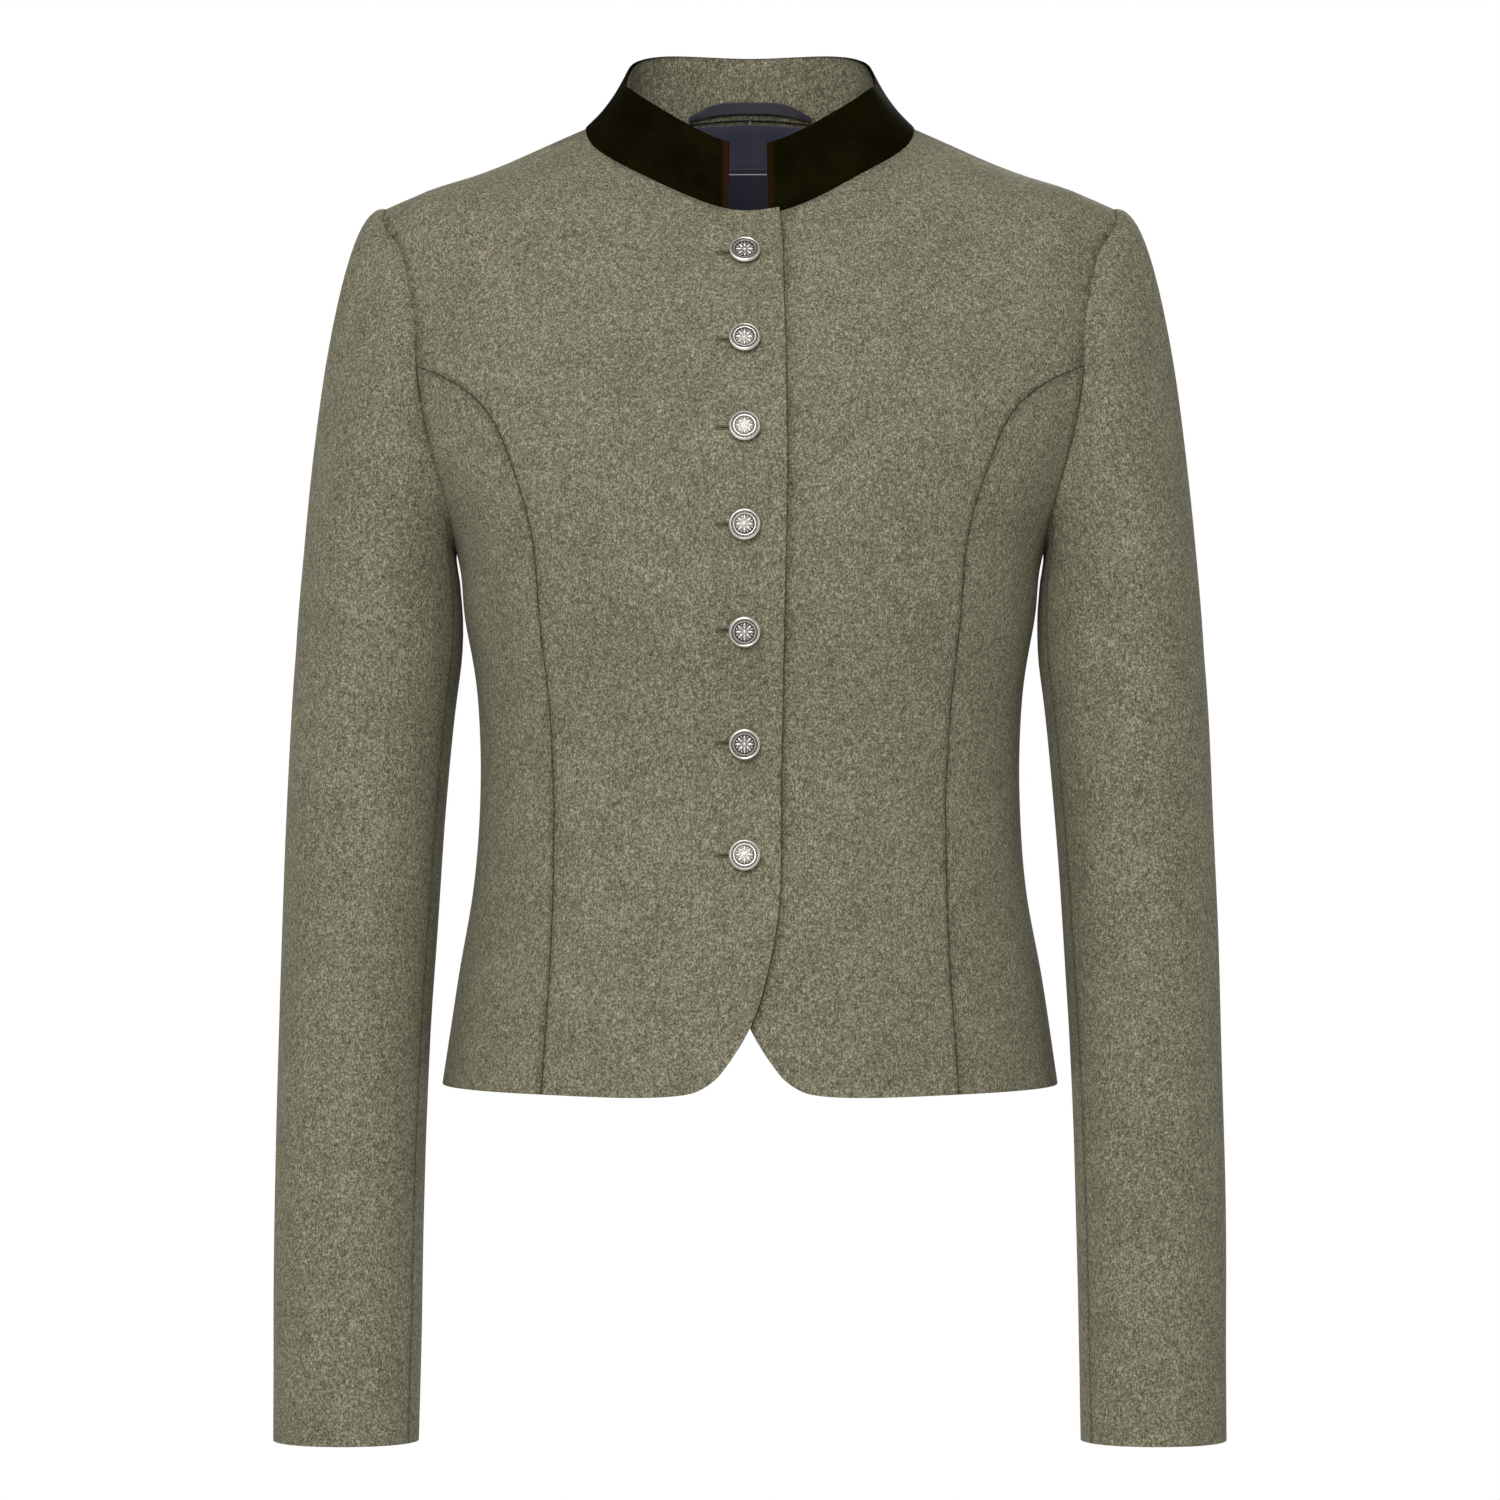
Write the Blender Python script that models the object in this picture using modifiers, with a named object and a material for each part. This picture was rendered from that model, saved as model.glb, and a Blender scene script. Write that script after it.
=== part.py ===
"""Short wool blazer with a velvet stand collar, worn form with nothing inside.

Metres, +Z up, the front faces -Y and the wearer's left is +X. The origin is on
the centre line, level with the points where the shoulder seams meet the neck.
Every cloth piece is one closed wall on a smooth body or sleeve surface. The
tables give millimetres.
"""

import math
from collections import namedtuple

import bmesh
import bpy
from mathutils import Vector

MM = 0.001

# Cloth and seams
WALL = 1.8 * MM
COLLAR_WALL = 1.5 * MM
LINING_WALL = 1.0 * MM
LABEL_WALL = 0.8 * MM
LOOP_WALL = 1.2 * MM
SEAM_PULL = 0.2 * MM  # each piece stops this far short of its seam line
LAYER_GAP = 0.4 * MM  # between one layer of cloth and the next
COLLAR_SEAT = 0.6 * MM  # the collar's lower edge above the neckline
LAP = 2.9 * MM  # how far the under front lies inside the over front
LAP_FULL = 24 * MM
LAP_NONE = 62 * MM
RING_POWER = 2.3  # 2 is an ellipse, more is squarer
BACK_POWER = 1.5  # how a section's height runs from the side to the centre back

# Grid cells in each stretch of seam
CENTRE_ROWS = 15  # hem to the armhole along a princess seam
ARMHOLE_UPPER = 5  # princess seam to shoulder tip
ARMHOLE_LOWER = 6  # underarm to princess seam
SHOULDER = 4
FRONT_NECK = 7
BACK_NECK = 6
CAP_ROWS = 6
COLLAR_ROWS = 4

# Horizontal sections of the body, from the hem up to the neck seam. The rows
# above the underarm run on past the armhole, where only the cloth inside the
# armhole seam is used.
BodyRow = namedtuple(
    "BodyRow", "front_z side_z back_z half_width front_depth back_depth side_y front_power"
)
BODY = (
    BodyRow(-495, -492, -463, 158.5, 120, 106, 0, 1.5),
    BodyRow(-440, -438, -414, 150.2, 114, 98, 0, 1.5),
    BodyRow(-390, -389, -375, 141.9, 104, 87, 0, 1.5),
    BodyRow(-338, -338, -333, 138.8, 98, 82, 0, 1.5),
    BodyRow(-292, -292, -290, 140.5, 106, 90, 0, 1.5),
    BodyRow(-255, -255, -255, 146.0, 117, 97, 0, 1.5),
    BodyRow(-215, -215, -215, 152.0, 121, 102, 0, 1.5),
    BodyRow(-175, -175, -175, 174.0, 116, 105, 0, 1.5),
    BodyRow(-135, -135, -135, 191.0, 102, 104, 0, 1.5),
    BodyRow(-102, -95, -98, 195.5, 86, 98, 1, 1.5),
    BodyRow(-81, -62, -70, 190.5, 73, 90, 1, 1.5),
    BodyRow(-68, -41.7, -48, 188.0, 64, 81, 2, 1.5),
    BodyRow(-57, -22.4, -18, 136.0, 56, 66, 4, 1.4),
    BodyRow(-46, 0, 9, 84.5, 48, 52, 5, 1.0),
)
UNDERARM_ROW = 6
TIP_ROW = 11
NECK_ROW = 13
NEAREST_ROUNDS = 12
RELAX_ROUNDS = 10

# Angles of the points between the ends of four seams that follow a body row
FRONT_HEM_GUIDE = 0.46
BACK_HEM_GUIDE = 2.8
FRONT_NECK_GUIDE = 0.7
BACK_NECK_GUIDE = 2.3

# Seam lines. FrontView rows are seen from the front, SideView rows from the side.
FrontView = namedtuple("FrontView", "x z")
SideView = namedtuple("SideView", "y z")
FRONT_EDGE = (
    FrontView(13.0, -480),
    FrontView(2.5, -465),
    FrontView(-5.5, -444),
    FrontView(-10.0, -427),
    FrontView(-14.5, -400),
    FrontView(-15.6, -368),
    FrontView(-16.0, -320),
    FrontView(-17.5, -240),
    FrontView(-18.5, -160),
    FrontView(-17.4, -100),
    FrontView(-15.4, -46),
)
FRONT_HEM = (
    FrontView(13.0, -480),
    FrontView(21.0, -488),
    FrontView(32.0, -492.7),
    FrontView(53.0, -495),
    FrontView(105.0, -494.2),
)
FRONT_PRINCESS = (
    FrontView(105.0, -494.2),
    FrontView(101.1, -436),
    FrontView(99.4, -396),
    FrontView(99.1, -345),
    FrontView(101.7, -296),
    FrontView(106.3, -251),
    FrontView(108.5, -224),
    FrontView(114.2, -194),
    FrontView(125.1, -163),
    FrontView(137.2, -144),
    FrontView(152.4, -133),
)
BACK_PRINCESS = (
    FrontView(99.0, -472),
    FrontView(96.5, -430),
    FrontView(96.0, -385),
    FrontView(97.5, -335),
    FrontView(102.0, -285),
    FrontView(109.0, -240),
    FrontView(120.0, -203),
    FrontView(137.0, -173),
    FrontView(155.0, -152),
)
FRONT_ARMHOLE_UPPER = (
    SideView(-54, -125),
    SideView(-49, -102),
    SideView(-37, -76),
    SideView(-19, -53),
)
FRONT_ARMHOLE_LOWER = (
    SideView(-24, -210),
    SideView(-44, -194),
    SideView(-54, -168),
    SideView(-56, -145),
    SideView(-54, -125),
)
BACK_ARMHOLE_UPPER = (
    SideView(58, -136),
    SideView(53, -108),
    SideView(41, -78),
    SideView(23, -53),
)
BACK_ARMHOLE_LOWER = (
    SideView(28, -209),
    SideView(50, -190),
    SideView(59, -163),
    SideView(58, -136),
)

# Horizontal sections of the sleeve from the upper arm to the cuff
SleeveRow = namedtuple("SleeveRow", "z centre_x half_width centre_y half_depth")
SLEEVE = (
    SleeveRow(-240, 190.3, 41.3, 0, 58.0),
    SleeveRow(-270, 190.9, 42.7, 0, 57.0),
    SleeveRow(-300, 193.7, 42.0, -1, 56.0),
    SleeveRow(-360, 197.7, 40.6, -5, 53.5),
    SleeveRow(-420, 200.7, 39.7, -12, 51.0),
    SleeveRow(-480, 203.0, 38.8, -20, 48.5),
    SleeveRow(-540, 204.3, 38.3, -28, 46.0),
    SleeveRow(-600, 205.1, 37.8, -35, 44.0),
    SleeveRow(-672, 205.8, 37.0, -43, 42.0),
)
SLEEVE_POWER = 2.1
SLEEVE_COLUMNS = 2 * (ARMHOLE_UPPER + ARMHOLE_LOWER)
FRONT_SLEEVE_SEAM = 9  # columns from the shoulder tip, counted to the front
BACK_SLEEVE_SEAM = 15

# Sleeve head. Its cloth leaves the armhole seam outwards and slightly up at the
# shoulder tip and downwards at the underarm, and then bends into the upper arm.
# A swing is added on the outer side and taken off on the inner side.
HEAD_OUT, HEAD_OUT_SWING = 0.55, 0.45
HEAD_UP, HEAD_UP_SWING = -0.4, 0.6
HEAD_FORWARD = 0.45
HEAD_LENGTH, HEAD_LENGTH_SWING, HEAD_LENGTH_FRONT = 14, 6, 8
HEAD_FALL = 0.53  # share of the sleeve head's height
HEAD_LEAN, HEAD_LEAN_MIDDLE = 0.1, 0.4
HEAD_FULLNESS = 5.5
CAP_ROW_POWER = 1.5

# Top edge of the stand collar, and its ends beside the centre front
COLLAR_TOP = dict(
    half_width=64.3, front_depth=45, back_depth=50, side_y=1, front_z=-12, side_z=23, back_z=40
)
COLLAR_FRONT_POWER = 1.6
COLLAR_BACK_POWER = 3
COLLAR_CORNER_RISE = 1.2
COLLAR_BEND_IN = 0.52
COLLAR_BEND_UP = 0.38
COLLAR_END_RIGHT = -11 * MM
COLLAR_END_LEFT = 9 * MM
COLLAR_END_CELL = math.radians(4)  # least angle that the cell at an end takes

# Lining, label and loop at the back neck. The lining and the label are counted
# in rows down from the neck seam and columns out from the centre back.
LINING_ROWS = 7
LINING_MARGIN = 2
LINING_SHORT = 0.1
LABEL_HIGH = 1.1
LABEL_LOW = 2.9
LABEL_HALF_WIDTH = 1.6
LOOP_STAND_OFF = 1.2 * MM
LOOP_COLUMNS = 16
LOOP_STEP = 6.4
# Edges of the loop's band, one row for each step out from the middle
LoopEdges = namedtuple("LoopEdges", "low_z high_z")
LOOP = (
    LoopEdges(10.8, 17.1),
    LoopEdges(10.8, 17.1),
    LoopEdges(10.5, 17.0),
    LoopEdges(9.8, 16.0),
    LoopEdges(8.7, 13.4),
    LoopEdges(7.0, 9.6),
)

# Buttons down the centre front
BUTTON_X = -2.7 * MM
BUTTON_HEIGHTS = (-68.6, -114, -159, -207.8, -260.6, -317, -373.5)
BUTTON_RADIUS = 8.0
BUTTON_SEAT = 0.5
BUTTON_STEPS = 18
# Turned profile from the middle of the face, over the rim, to the shank's foot
ButtonPoint = namedtuple("ButtonPoint", "radius height")
BUTTON_PROFILE = (
    ButtonPoint(0.0, 4.0),
    ButtonPoint(5.6, 3.7),
    ButtonPoint(6.6, 4.1),
    ButtonPoint(7.6, 3.7),
    ButtonPoint(BUTTON_RADIUS, 2.9),
    ButtonPoint(7.0, 2.0),
    ButtonPoint(2.6, 1.7),
    ButtonPoint(2.4, BUTTON_SEAT),
    ButtonPoint(0.0, BUTTON_SEAT),
)

Finish = namedtuple("Finish", "colour roughness metallic")
WOOL = Finish((0.21, 0.195, 0.13), 0.95, 0.0)
VELVET = Finish((0.008, 0.006, 0.004), 0.9, 0.0)
NAVY = Finish((0.018, 0.018, 0.028), 0.5, 0.0)
SILVER = Finish((0.55, 0.53, 0.48), 0.35, 1.0)


def catmull_rom(values, position):
    """The smooth value at a fractional place in an evenly numbered list."""
    last = len(values) - 1
    index = min(max(int(math.floor(position)), 0), last - 1)
    t = position - index
    here, after = values[index], values[index + 1]
    before = values[index - 1] if index > 0 else 2 * here - after
    beyond = values[index + 2] if index < last - 1 else 2 * after - here
    start, end = (after - before) / 2, (beyond - here) / 2
    return (
        here * (2 * t**3 - 3 * t**2 + 1)
        + start * (t**3 - 2 * t**2 + t)
        + after * (3 * t**2 - 2 * t**3)
        + end * (t**3 - t**2)
    )


BODY_COLUMNS = [list(column) for column in zip(*BODY)]


def ring_radius(angle, width, depth, power=RING_POWER):
    across = abs(math.sin(angle) / width) ** power
    along = abs(math.cos(angle) / depth) ** power
    return (across + along) ** (-1 / power)


def body_point(angle, row):
    """Angle 0 is the centre front, a right angle the wearer's left side."""
    front_z, side_z, back_z, width, front, back, side_y, front_power = (
        catmull_rom(column, row) for column in BODY_COLUMNS
    )
    forward = math.cos(angle)
    if forward > 0:
        depth, end_z, power = front, front_z, front_power
    else:
        depth, end_z, power = back, back_z, BACK_POWER
    radius = ring_radius(angle, width, depth)
    side_share = 1 - abs(forward) ** 2
    return Vector(
        (
            radius * math.sin(angle),
            side_y * side_share - radius * forward,
            side_z + (end_z - side_z) * abs(forward) ** power,
        )
    ) * MM


def body_normal(angle, row):
    step = 0.02
    across = body_point(angle + step, row) - body_point(angle - step, row)
    up = body_point(angle, row + step) - body_point(angle, row - step)
    return across.cross(up).normalized()


def bisect(test, low, high):
    """Where a rising test passes zero."""
    for _ in range(34):
        middle = (low + high) / 2
        if test(middle) < 0:
            low = middle
        else:
            high = middle
    return (low + high) / 2


def place_on_body(axis, value, z, first, last):
    """(angle, row) of the body point with this x or y and this height."""
    rising = 1 if body_point(last, 0)[axis] > body_point(first, 0)[axis] else -1

    def angle_at(row):
        return bisect(lambda a: rising * (body_point(a, row)[axis] - value), first, last)

    row = bisect(lambda r: body_point(angle_at(r), r).z - z, 0, NECK_ROW)
    return angle_at(row), row


def from_front(table):
    return [place_on_body(0, p.x * MM, p.z * MM, -math.pi / 4, math.pi / 2) for p in table]


def from_behind(table):
    return [place_on_body(0, p.x * MM, p.z * MM, math.pi / 2, math.pi * 1.25) for p in table]


def from_side(table):
    return [place_on_body(1, p.y * MM, p.z * MM, 0, math.pi) for p in table]


def seam(points, cells):
    """A smooth line through (angle, row) points, cut into cells of even length."""
    angles = [p[0] for p in points]
    rows = [p[1] for p in points]
    dense = 24 * (len(points) - 1)
    line = []
    for i in range(dense + 1):
        at = i * (len(points) - 1) / dense
        line.append((catmull_rom(angles, at), catmull_rom(rows, at)))
    places = [body_point(*p) for p in line]
    lengths = [0.0]
    for before, after in zip(places, places[1:]):
        lengths.append(lengths[-1] + (after - before).length)
    cut = []
    index = 0
    for cell in range(cells + 1):
        goal = lengths[-1] * cell / cells
        while index < dense - 1 and lengths[index + 1] < goal:
            index += 1
        span = lengths[index + 1] - lengths[index]
        share = (goal - lengths[index]) / span
        before, after = line[index], line[index + 1]
        cut.append(tuple(b + (a - b) * share for b, a in zip(before, after)))
    cut[0], cut[-1] = points[0], points[-1]
    return cut


def blend(left, right, low, high):
    """Rows of values filled in between four edges, corner to corner."""
    rows, columns = len(left) - 1, len(low) - 1
    grid = []
    for i in range(rows + 1):
        v = i / rows
        line = []
        for j in range(columns + 1):
            u = j / columns
            sides = left[i] * (1 - u) + right[i] * u
            ends = low[j] * (1 - v) + high[j] * v
            corners = (low[0] * (1 - u) + low[-1] * u) * (1 - v)
            corners += (high[0] * (1 - u) + high[-1] * u) * v
            line.append(sides + ends - corners)
        grid.append(line)
    return grid


def nearest_place(target, angle, row):
    """(angle, row) of the body point nearest to a target, from a first guess."""
    step = 0.001
    for _ in range(NEAREST_ROUNDS):
        here = body_point(angle, row)
        across = (body_point(angle + step, row) - here) / step
        up = (body_point(angle, row + step) - here) / step
        off = target - here
        aa, au, uu = across.dot(across), across.dot(up), up.dot(up)
        scale = aa * uu - au * au
        angle += (off.dot(across) * uu - off.dot(up) * au) / scale
        row += (off.dot(up) * aa - off.dot(across) * au) / scale
        row = min(max(row, 0.0), NECK_ROW)
    return angle, row


def panel_grid(left, right, low, high):
    """Rows of (angle, row) places that fill a panel evenly between its four seams."""
    edges = (left, right, low, high)
    targets = blend(*([body_point(*p) for p in edge] for edge in edges))
    guesses = blend(*([Vector(p) for p in edge] for edge in edges))
    grid = [list(low)]
    for i in range(1, len(left) - 1):
        line = [nearest_place(targets[i][j], *guesses[i][j]) for j in range(1, len(low) - 1)]
        grid.append([left[i], *line, right[i]])
    return [*grid, list(high)]


def relaxed(grid):
    """The grid with its inner places evened out, more so the nearer they are to the top,
    so that no cell is left skewed or thin beside the neck."""
    for _ in range(RELAX_ROUNDS):
        points = [[body_point(*place) for place in line] for line in grid]
        for i in range(1, len(grid) - 1):
            share = (i / (len(grid) - 1)) ** 2
            for j in range(1, len(grid[i]) - 1):
                around = points[i - 1][j] + points[i + 1][j] + points[i][j - 1] + points[i][j + 1]
                target = points[i][j].lerp(around / 4, share)
                grid[i][j] = nearest_place(target, *grid[i][j])
    return grid


def make_material(name, finish):
    material = bpy.data.materials.get(name)
    if material:
        return material
    material = bpy.data.materials.new(name)
    material.use_nodes = True
    shader = material.node_tree.nodes["Principled BSDF"]
    shader.inputs["Base Color"].default_value = (*finish.colour, 1)
    shader.inputs["Roughness"].default_value = finish.roughness
    shader.inputs["Metallic"].default_value = finish.metallic
    return material


def add_object(name, mesh, material, collection):
    mesh.materials.append(material)
    mesh.shade_smooth()
    mesh.set_sharp_from_angle(angle=math.radians(50))
    obj = bpy.data.objects.new(name, mesh)
    collection.objects.link(obj)
    return obj


def pull_in(points):
    """Moves the rim of a grid of points in from its seam lines."""
    rows, columns = len(points), len(points[0])
    moved = [[p.copy() for p in line] for line in points]
    for i in range(rows):
        for j in range(columns):
            inner_i = min(max(i, 1), rows - 2)
            inner_j = min(max(j, 1), columns - 2)
            for neighbour in ((inner_i, j), (i, inner_j)):
                if neighbour != (i, j):
                    way = points[neighbour[0]][neighbour[1]] - points[i][j]
                    moved[i][j] += way.normalized() * SEAM_PULL
    return moved


def cloth(name, points, normals, wall, material, collection, mirrored=False):
    """One cut piece: a grid of outer points with a wall grown inwards."""
    rows, columns = len(points), len(points[0])
    side = -1 if mirrored else 1
    outer = [p for line in pull_in(points) for p in line]
    inward = [-n * wall for line in normals for n in line]
    shell = bmesh.new()
    bmesh.ops.create_grid(shell, x_segments=columns - 1, y_segments=rows - 1, size=1)
    place = shell.verts.layers.int.new("place")
    for index, vert in enumerate(shell.verts):
        vert[place] = index
        vert.co = Vector((side * outer[index].x, outer[index].y, outer[index].z))
    made = bmesh.ops.extrude_face_region(shell, geom=shell.faces[:], use_keep_orig=True)
    for item in made["geom"]:
        if isinstance(item, bmesh.types.BMVert):
            way = inward[item[place]]
            item.co += Vector((side * way.x, way.y, way.z))
    bmesh.ops.recalc_face_normals(shell, faces=shell.faces)
    mesh = bpy.data.meshes.new(name)
    shell.to_mesh(mesh)
    shell.free()
    return add_object(name, mesh, material, collection)


def lap_depth(point):
    """How far the under front lies inside the over front here."""
    near = (LAP_NONE - point.x) / (LAP_NONE - LAP_FULL)
    near = min(max(near, 0.0), 1.0)
    return LAP * near * near * (3 - 2 * near)


def on_body(grid, depth=0.0, lapped=False):
    """Points and outward normals of a grid of (angle, row) places."""
    points, normals = [], []
    for line in grid:
        point_line, normal_line = [], []
        for angle, row in line:
            point, normal = body_point(angle, row), body_normal(angle, row)
            sunk = depth + lap_depth(point) if lapped else depth
            point_line.append(point - normal * sunk)
            normal_line.append(normal)
        points.append(point_line)
        normals.append(normal_line)
    return points, normals


def make_body(collection, wool):
    """Eight panels. Returns the armhole line, from the tip round by the front, the
    grid of the centre back, and the angles of the neckline's corners."""
    side = math.pi / 2
    tip, underarm = (side, TIP_ROW), (side, UNDERARM_ROW)
    neck_side = (side, NECK_ROW)

    front_edge = seam(from_front(FRONT_EDGE), CENTRE_ROWS + ARMHOLE_UPPER)
    front_edge[-1] = (front_edge[-1][0], NECK_ROW)
    front_upper = seam([*from_side(FRONT_ARMHOLE_UPPER), tip], ARMHOLE_UPPER)
    junction = front_upper[0]
    princess = from_front(FRONT_PRINCESS)
    princess[0] = (princess[0][0], 0.0)
    princess = seam([*princess, junction], CENTRE_ROWS)
    front_hem = [front_edge[0], *from_front(FRONT_HEM)[1:-2]]
    front_hem = [*front_hem, (FRONT_HEM_GUIDE, 0.0), princess[0]]
    front_hem = seam(front_hem, FRONT_NECK + SHOULDER)
    neckline = seam([front_edge[-1], (FRONT_NECK_GUIDE, NECK_ROW), neck_side], FRONT_NECK)
    shoulder = [(side, NECK_ROW + (TIP_ROW - NECK_ROW) * i / SHOULDER) for i in range(SHOULDER + 1)]
    centre_front = panel_grid(
        front_edge, princess + front_upper[1:], front_hem, neckline + shoulder[1:]
    )
    centre_front = relaxed(centre_front)

    side_seam = seam([(side, row) for row in range(UNDERARM_ROW + 1)], CENTRE_ROWS)
    front_lower = seam([underarm, *from_side(FRONT_ARMHOLE_LOWER)], ARMHOLE_LOWER)
    front_lower[-1] = junction
    front_lower.reverse()
    side_hem = seam([princess[0], ((princess[0][0] + side) / 2, 0.0), (side, 0.0)], ARMHOLE_LOWER)
    front_side = panel_grid(princess, side_seam, side_hem, front_lower)

    back_upper = seam([*from_side(BACK_ARMHOLE_UPPER), tip], ARMHOLE_UPPER)
    back_junction = back_upper[0]
    back_princess = from_behind(BACK_PRINCESS)
    back_princess[0] = (back_princess[0][0], 0.0)
    back_princess = seam([*back_princess, back_junction], CENTRE_ROWS)
    back_lower = seam([underarm, *from_side(BACK_ARMHOLE_LOWER)], ARMHOLE_LOWER)
    back_lower[-1] = back_junction
    back_hem = seam(
        [(side, 0.0), ((back_princess[0][0] + side) / 2, 0.0), back_princess[0]], ARMHOLE_LOWER
    )
    back_side = panel_grid(side_seam, back_princess, back_hem, back_lower)

    columns = BACK_NECK + SHOULDER
    centre_back = seam([(math.pi, row) for row in range(NECK_ROW + 1)], CENTRE_ROWS + ARMHOLE_UPPER)
    low = seam([back_princess[0], (BACK_HEM_GUIDE, 0.0), (math.pi, 0.0)], columns)
    back_neck = [neck_side, (BACK_NECK_GUIDE, NECK_ROW), (math.pi, NECK_ROW)]
    back_neck = seam(back_neck, BACK_NECK)
    centre = panel_grid(
        back_princess + back_upper[1:], centre_back, low, shoulder[::-1] + back_neck[1:]
    )

    pieces = (
        ("front", centre_front),
        ("front_side", front_side),
        ("back_side", back_side),
        ("back", centre),
    )
    for hand, mirrored in (("left", False), ("right", True)):
        for piece, grid in pieces:
            points, normals = on_body(grid, lapped=(hand, piece) == ("left", "front"))
            cloth(f"{hand}_{piece}", points, normals, WALL, wool, collection, mirrored)
    armhole = front_upper[::-1] + front_lower[1:] + back_lower[1:] + back_upper[1:-1]
    return armhole, centre, [angle for angle, _ in neckline + back_neck[1:]]


def cap_line(start, end, phi):
    """Points from the armhole seam over the sleeve head to the upper arm."""
    outer, front = math.cos(phi), math.sin(phi)
    way = Vector(
        (HEAD_OUT + HEAD_OUT_SWING * outer, -HEAD_FORWARD * front, HEAD_UP + HEAD_UP_SWING * outer)
    )
    length = HEAD_LENGTH + HEAD_LENGTH_SWING * outer + HEAD_LENGTH_FRONT * front**2
    first = start + way * length * MM
    rise = HEAD_FALL * (start.z - end.z)
    lean = HEAD_LEAN * rise * (outer + HEAD_LEAN_MIDDLE)
    second = end + Vector((HEAD_FULLNESS * MM * max(outer, 0) - lean, 0, rise))
    line = []
    for row in range(CAP_ROWS):
        t = (row / CAP_ROWS) ** CAP_ROW_POWER
        line.append(
            start * (1 - t) ** 3
            + first * 3 * t * (1 - t) ** 2
            + second * 3 * t**2 * (1 - t)
            + end * t**3
        )
    return line


def sleeve_columns(armhole):
    """For each column round the sleeve, its points from the armhole to the cuff."""
    columns = []
    for column in range(SLEEVE_COLUMNS):
        phi = 2 * math.pi * column / SLEEVE_COLUMNS
        rings = []
        for ring in SLEEVE:
            radius = ring_radius(phi, ring.half_depth, ring.half_width, SLEEVE_POWER)
            rings.append(
                Vector(
                    (
                        ring.centre_x + radius * math.cos(phi),
                        ring.centre_y - radius * math.sin(phi),
                        ring.z,
                    )
                )
                * MM
            )
        start = body_point(*armhole[column])
        columns.append(cap_line(start, rings[0], phi) + rings)
    return columns


def make_sleeves(armhole, collection, wool):
    columns = sleeve_columns(armhole)
    count, rows = len(columns), len(columns[0])
    normals = []
    for c in range(count):
        line = []
        for r in range(rows):
            across = columns[(c + 1) % count][r] - columns[c - 1][r]
            down = columns[c][min(r + 1, rows - 1)] - columns[c][max(r - 1, 0)]
            line.append(across.cross(down).normalized())
        normals.append(line)
    pieces = (
        ("sleeve_under", range(FRONT_SLEEVE_SEAM, BACK_SLEEVE_SEAM + 1)),
        ("sleeve_top", range(BACK_SLEEVE_SEAM, count + FRONT_SLEEVE_SEAM + 1)),
    )
    for hand, mirrored in (("left", False), ("right", True)):
        for piece, span in pieces:
            points = [columns[c % count] for c in span]
            ways = [normals[c % count] for c in span]
            cloth(f"{hand}_{piece}", points, ways, WALL, wool, collection, mirrored)


def collar_place(angle, height):
    """Outer face of the stand collar: height 0 is the neck seam, 1 its top."""
    low = body_point(angle, NECK_ROW)
    top = COLLAR_TOP
    forward = math.cos(angle)
    rise = 0.0
    if forward > 0:
        depth, end_z = top["front_depth"], top["front_z"]
        share = forward**COLLAR_FRONT_POWER
        if low.x > 0:
            low = low - body_normal(angle, NECK_ROW) * lap_depth(low)
    else:
        depth, end_z = top["back_depth"], top["back_z"]
        share = 1 - (1 + forward) ** COLLAR_BACK_POWER
        rise = COLLAR_CORNER_RISE * math.sin(2 * angle) ** 2
    low.z += COLLAR_SEAT
    radius = ring_radius(angle, top["half_width"], depth)
    high = Vector(
        (
            radius * math.sin(angle),
            top["side_y"] - radius * forward,
            top["side_z"] + (end_z - top["side_z"]) * share + rise,
        )
    ) * MM
    bend = low + (high - low) * COLLAR_BEND_IN
    bend.z = low.z + (high.z - low.z) * COLLAR_BEND_UP
    return low * (1 - height) ** 2 + bend * 2 * height * (1 - height) + high * height**2


def collar_normal(angle, height):
    step = 0.02
    across = collar_place(angle + step, height) - collar_place(angle - step, height)
    up = collar_place(angle, height + step) - collar_place(angle, height - step)
    return across.cross(up).normalized()


def collar_grid(angles, depth):
    points, normals = [], []
    for i in range(COLLAR_ROWS + 1):
        point_line, normal_line = [], []
        for angle in angles:
            normal = collar_normal(angle, i / COLLAR_ROWS)
            point_line.append(collar_place(angle, i / COLLAR_ROWS) - normal * depth)
            normal_line.append(normal)
        points.append(point_line)
        normals.append(normal_line)
    return points, normals


def make_collar(neck_angles, collection, velvet, wool):
    """Velvet outside and wool inside, open at the centre front. Between its ends
    its columns are those of the neckline under it."""

    def end_angle(x):
        return bisect(lambda a: collar_place(a, 0).x - x, -math.pi / 4, math.pi / 4)

    first, last = end_angle(COLLAR_END_LEFT), end_angle(COLLAR_END_RIGHT)
    angles = [first, *(a for a in neck_angles if a > first + COLLAR_END_CELL)]
    angles += [2 * math.pi - a for a in neck_angles[-2::-1] if a > COLLAR_END_CELL - last]
    angles.append(2 * math.pi + last)
    points, normals = collar_grid(angles, 0.0)
    cloth("collar_velvet", points, normals, COLLAR_WALL, velvet, collection)
    points, normals = collar_grid(angles, COLLAR_WALL + LAYER_GAP)
    cloth("collar_inner", points, normals, COLLAR_WALL, wool, collection)


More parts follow.
